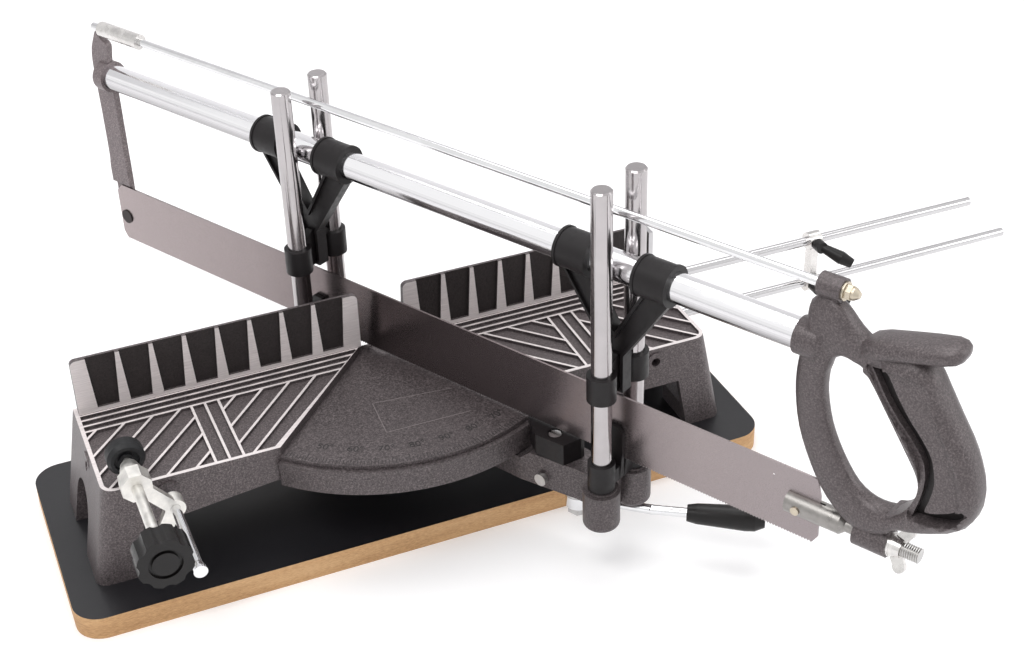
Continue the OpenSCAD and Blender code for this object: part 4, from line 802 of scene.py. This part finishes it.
def thread():
    """A closed rod with one helical groove."""
    bm = bmesh.new()
    s0, s1 = THREAD_S
    count = int((s1 - s0) / THREAD_PITCH * ROWS_PER_TURN)
    rows = []
    for i in range(count + 1):
        s = s0 + (s1 - s0) * i / count
        row = []
        for k in range(THREAD_SIDES):
            turn = (s / THREAD_PITCH - k / THREAD_SIDES) % 1.0
            r = THREAD_R - THREAD_DEPTH * abs(2 * turn - 1)
            a = 2 * math.pi * k / THREAD_SIDES
            row.append(bm.verts.new(on_arm(s, r * math.cos(a), TENSION_Z + r * math.sin(a))))
        rows.append(row)
    for low, high in zip(rows, rows[1:]):
        for k in range(THREAD_SIDES):
            n = (k + 1) % THREAD_SIDES
            bm.faces.new((low[k], low[n], high[n], high[k]))
    bm.faces.new(list(reversed(rows[0])))
    bm.faces.new(rows[-1])
    bmesh.ops.recalc_face_normals(bm, faces=bm.faces)
    return bm


finish_piece("tension_thread", thread(), STEEL, "saw_frame")


# Floor, backdrop and light
FLOOR_WHITE = (0.93, 0.925, 0.93)
FLOOR_GLOW = 0.14
SPREAD = 6.0
WALL_Y = 3.0
RISE = 4.0
BEND = 1.2
BEND_STEPS = 24


def stage_look(name, colour):
    t = Tree(name)
    t.set(Base_Color=colour, Roughness=0.85, Emission_Color=colour, Emission_Strength=FLOOR_GLOW)
    return t.material


floor_mesh = bmesh.new()
profile = [(-SPREAD, 0.0)]
for k in range(BEND_STEPS + 1):
    a = math.pi / 2 * k / BEND_STEPS
    profile.append((WALL_Y - BEND + BEND * math.sin(a), BEND - BEND * math.cos(a)))
profile.append((WALL_Y, RISE))
rows = [[floor_mesh.verts.new((x, y, z)) for (y, z) in profile] for x in (-SPREAD, SPREAD)]
for k in range(len(profile) - 1):
    floor_mesh.faces.new((rows[0][k], rows[1][k], rows[1][k + 1], rows[0][k + 1]))
mesh = bpy.data.meshes.new("floor")
floor_mesh.to_mesh(mesh)
floor_mesh.free()
mesh.shade_smooth()
floor = bpy.data.objects.new("floor", mesh)
bpy.context.scene.collection.objects.link(floor)
mesh.materials.append(stage_look("floor_white", FLOOR_WHITE))


def area(name, place, target, size, power):
    """A soft light that looks at its target; the power is in watts."""
    light = bpy.data.lights.new(name, "AREA")
    light.shape = "RECTANGLE"
    light.size, light.size_y = size
    light.energy = power
    made = bpy.data.objects.new(name, light)
    bpy.context.scene.collection.objects.link(made)
    made.location = place
    made.rotation_euler = (Vector(target) - Vector(place)).to_track_quat("-Z", "Y").to_euler()


LIGHTS = [
    ("key", (-0.9, -0.7, 2.1), (0, 0, 0.05), (1.6, 1.2), 26),
    ("top", (0.4, 0.6, 2.3), (0, 0, 0.05), (2.0, 1.4), 22),
    ("fill", (1.9, -1.2, 1.1), (0, 0, 0.1), (1.2, 1.2), 13),
]
for row in LIGHTS:
    area(*row)

# World: white where it is seen or mirrored, dimmer where it only lights
LIT_COLOUR = (0.95, 0.95, 0.96, 1)
LIT_STRENGTH = 0.55
world = bpy.data.worlds.new("studio")
bpy.context.scene.world = world
world.use_nodes = True
sky = world.node_tree
lit = sky.nodes["Background"]
lit.inputs["Color"].default_value = LIT_COLOUR
lit.inputs["Strength"].default_value = LIT_STRENGTH
seen = sky.nodes.new("ShaderNodeBackground")
seen.inputs["Color"].default_value = (1, 1, 1, 1)
seen.inputs["Strength"].default_value = 1.0
paths = sky.nodes.new("ShaderNodeLightPath")
either = sky.nodes.new("ShaderNodeMath")
either.operation = "MAXIMUM"
blend = sky.nodes.new("ShaderNodeMixShader")
sky.links.new(paths.outputs["Is Camera Ray"], either.inputs[0])
sky.links.new(paths.outputs["Is Glossy Ray"], either.inputs[1])
sky.links.new(either.outputs[0], blend.inputs[0])
sky.links.new(lit.outputs[0], blend.inputs[1])
sky.links.new(seen.outputs[0], blend.inputs[2])
sky.links.new(blend.outputs[0], sky.nodes["World Output"].inputs["Surface"])
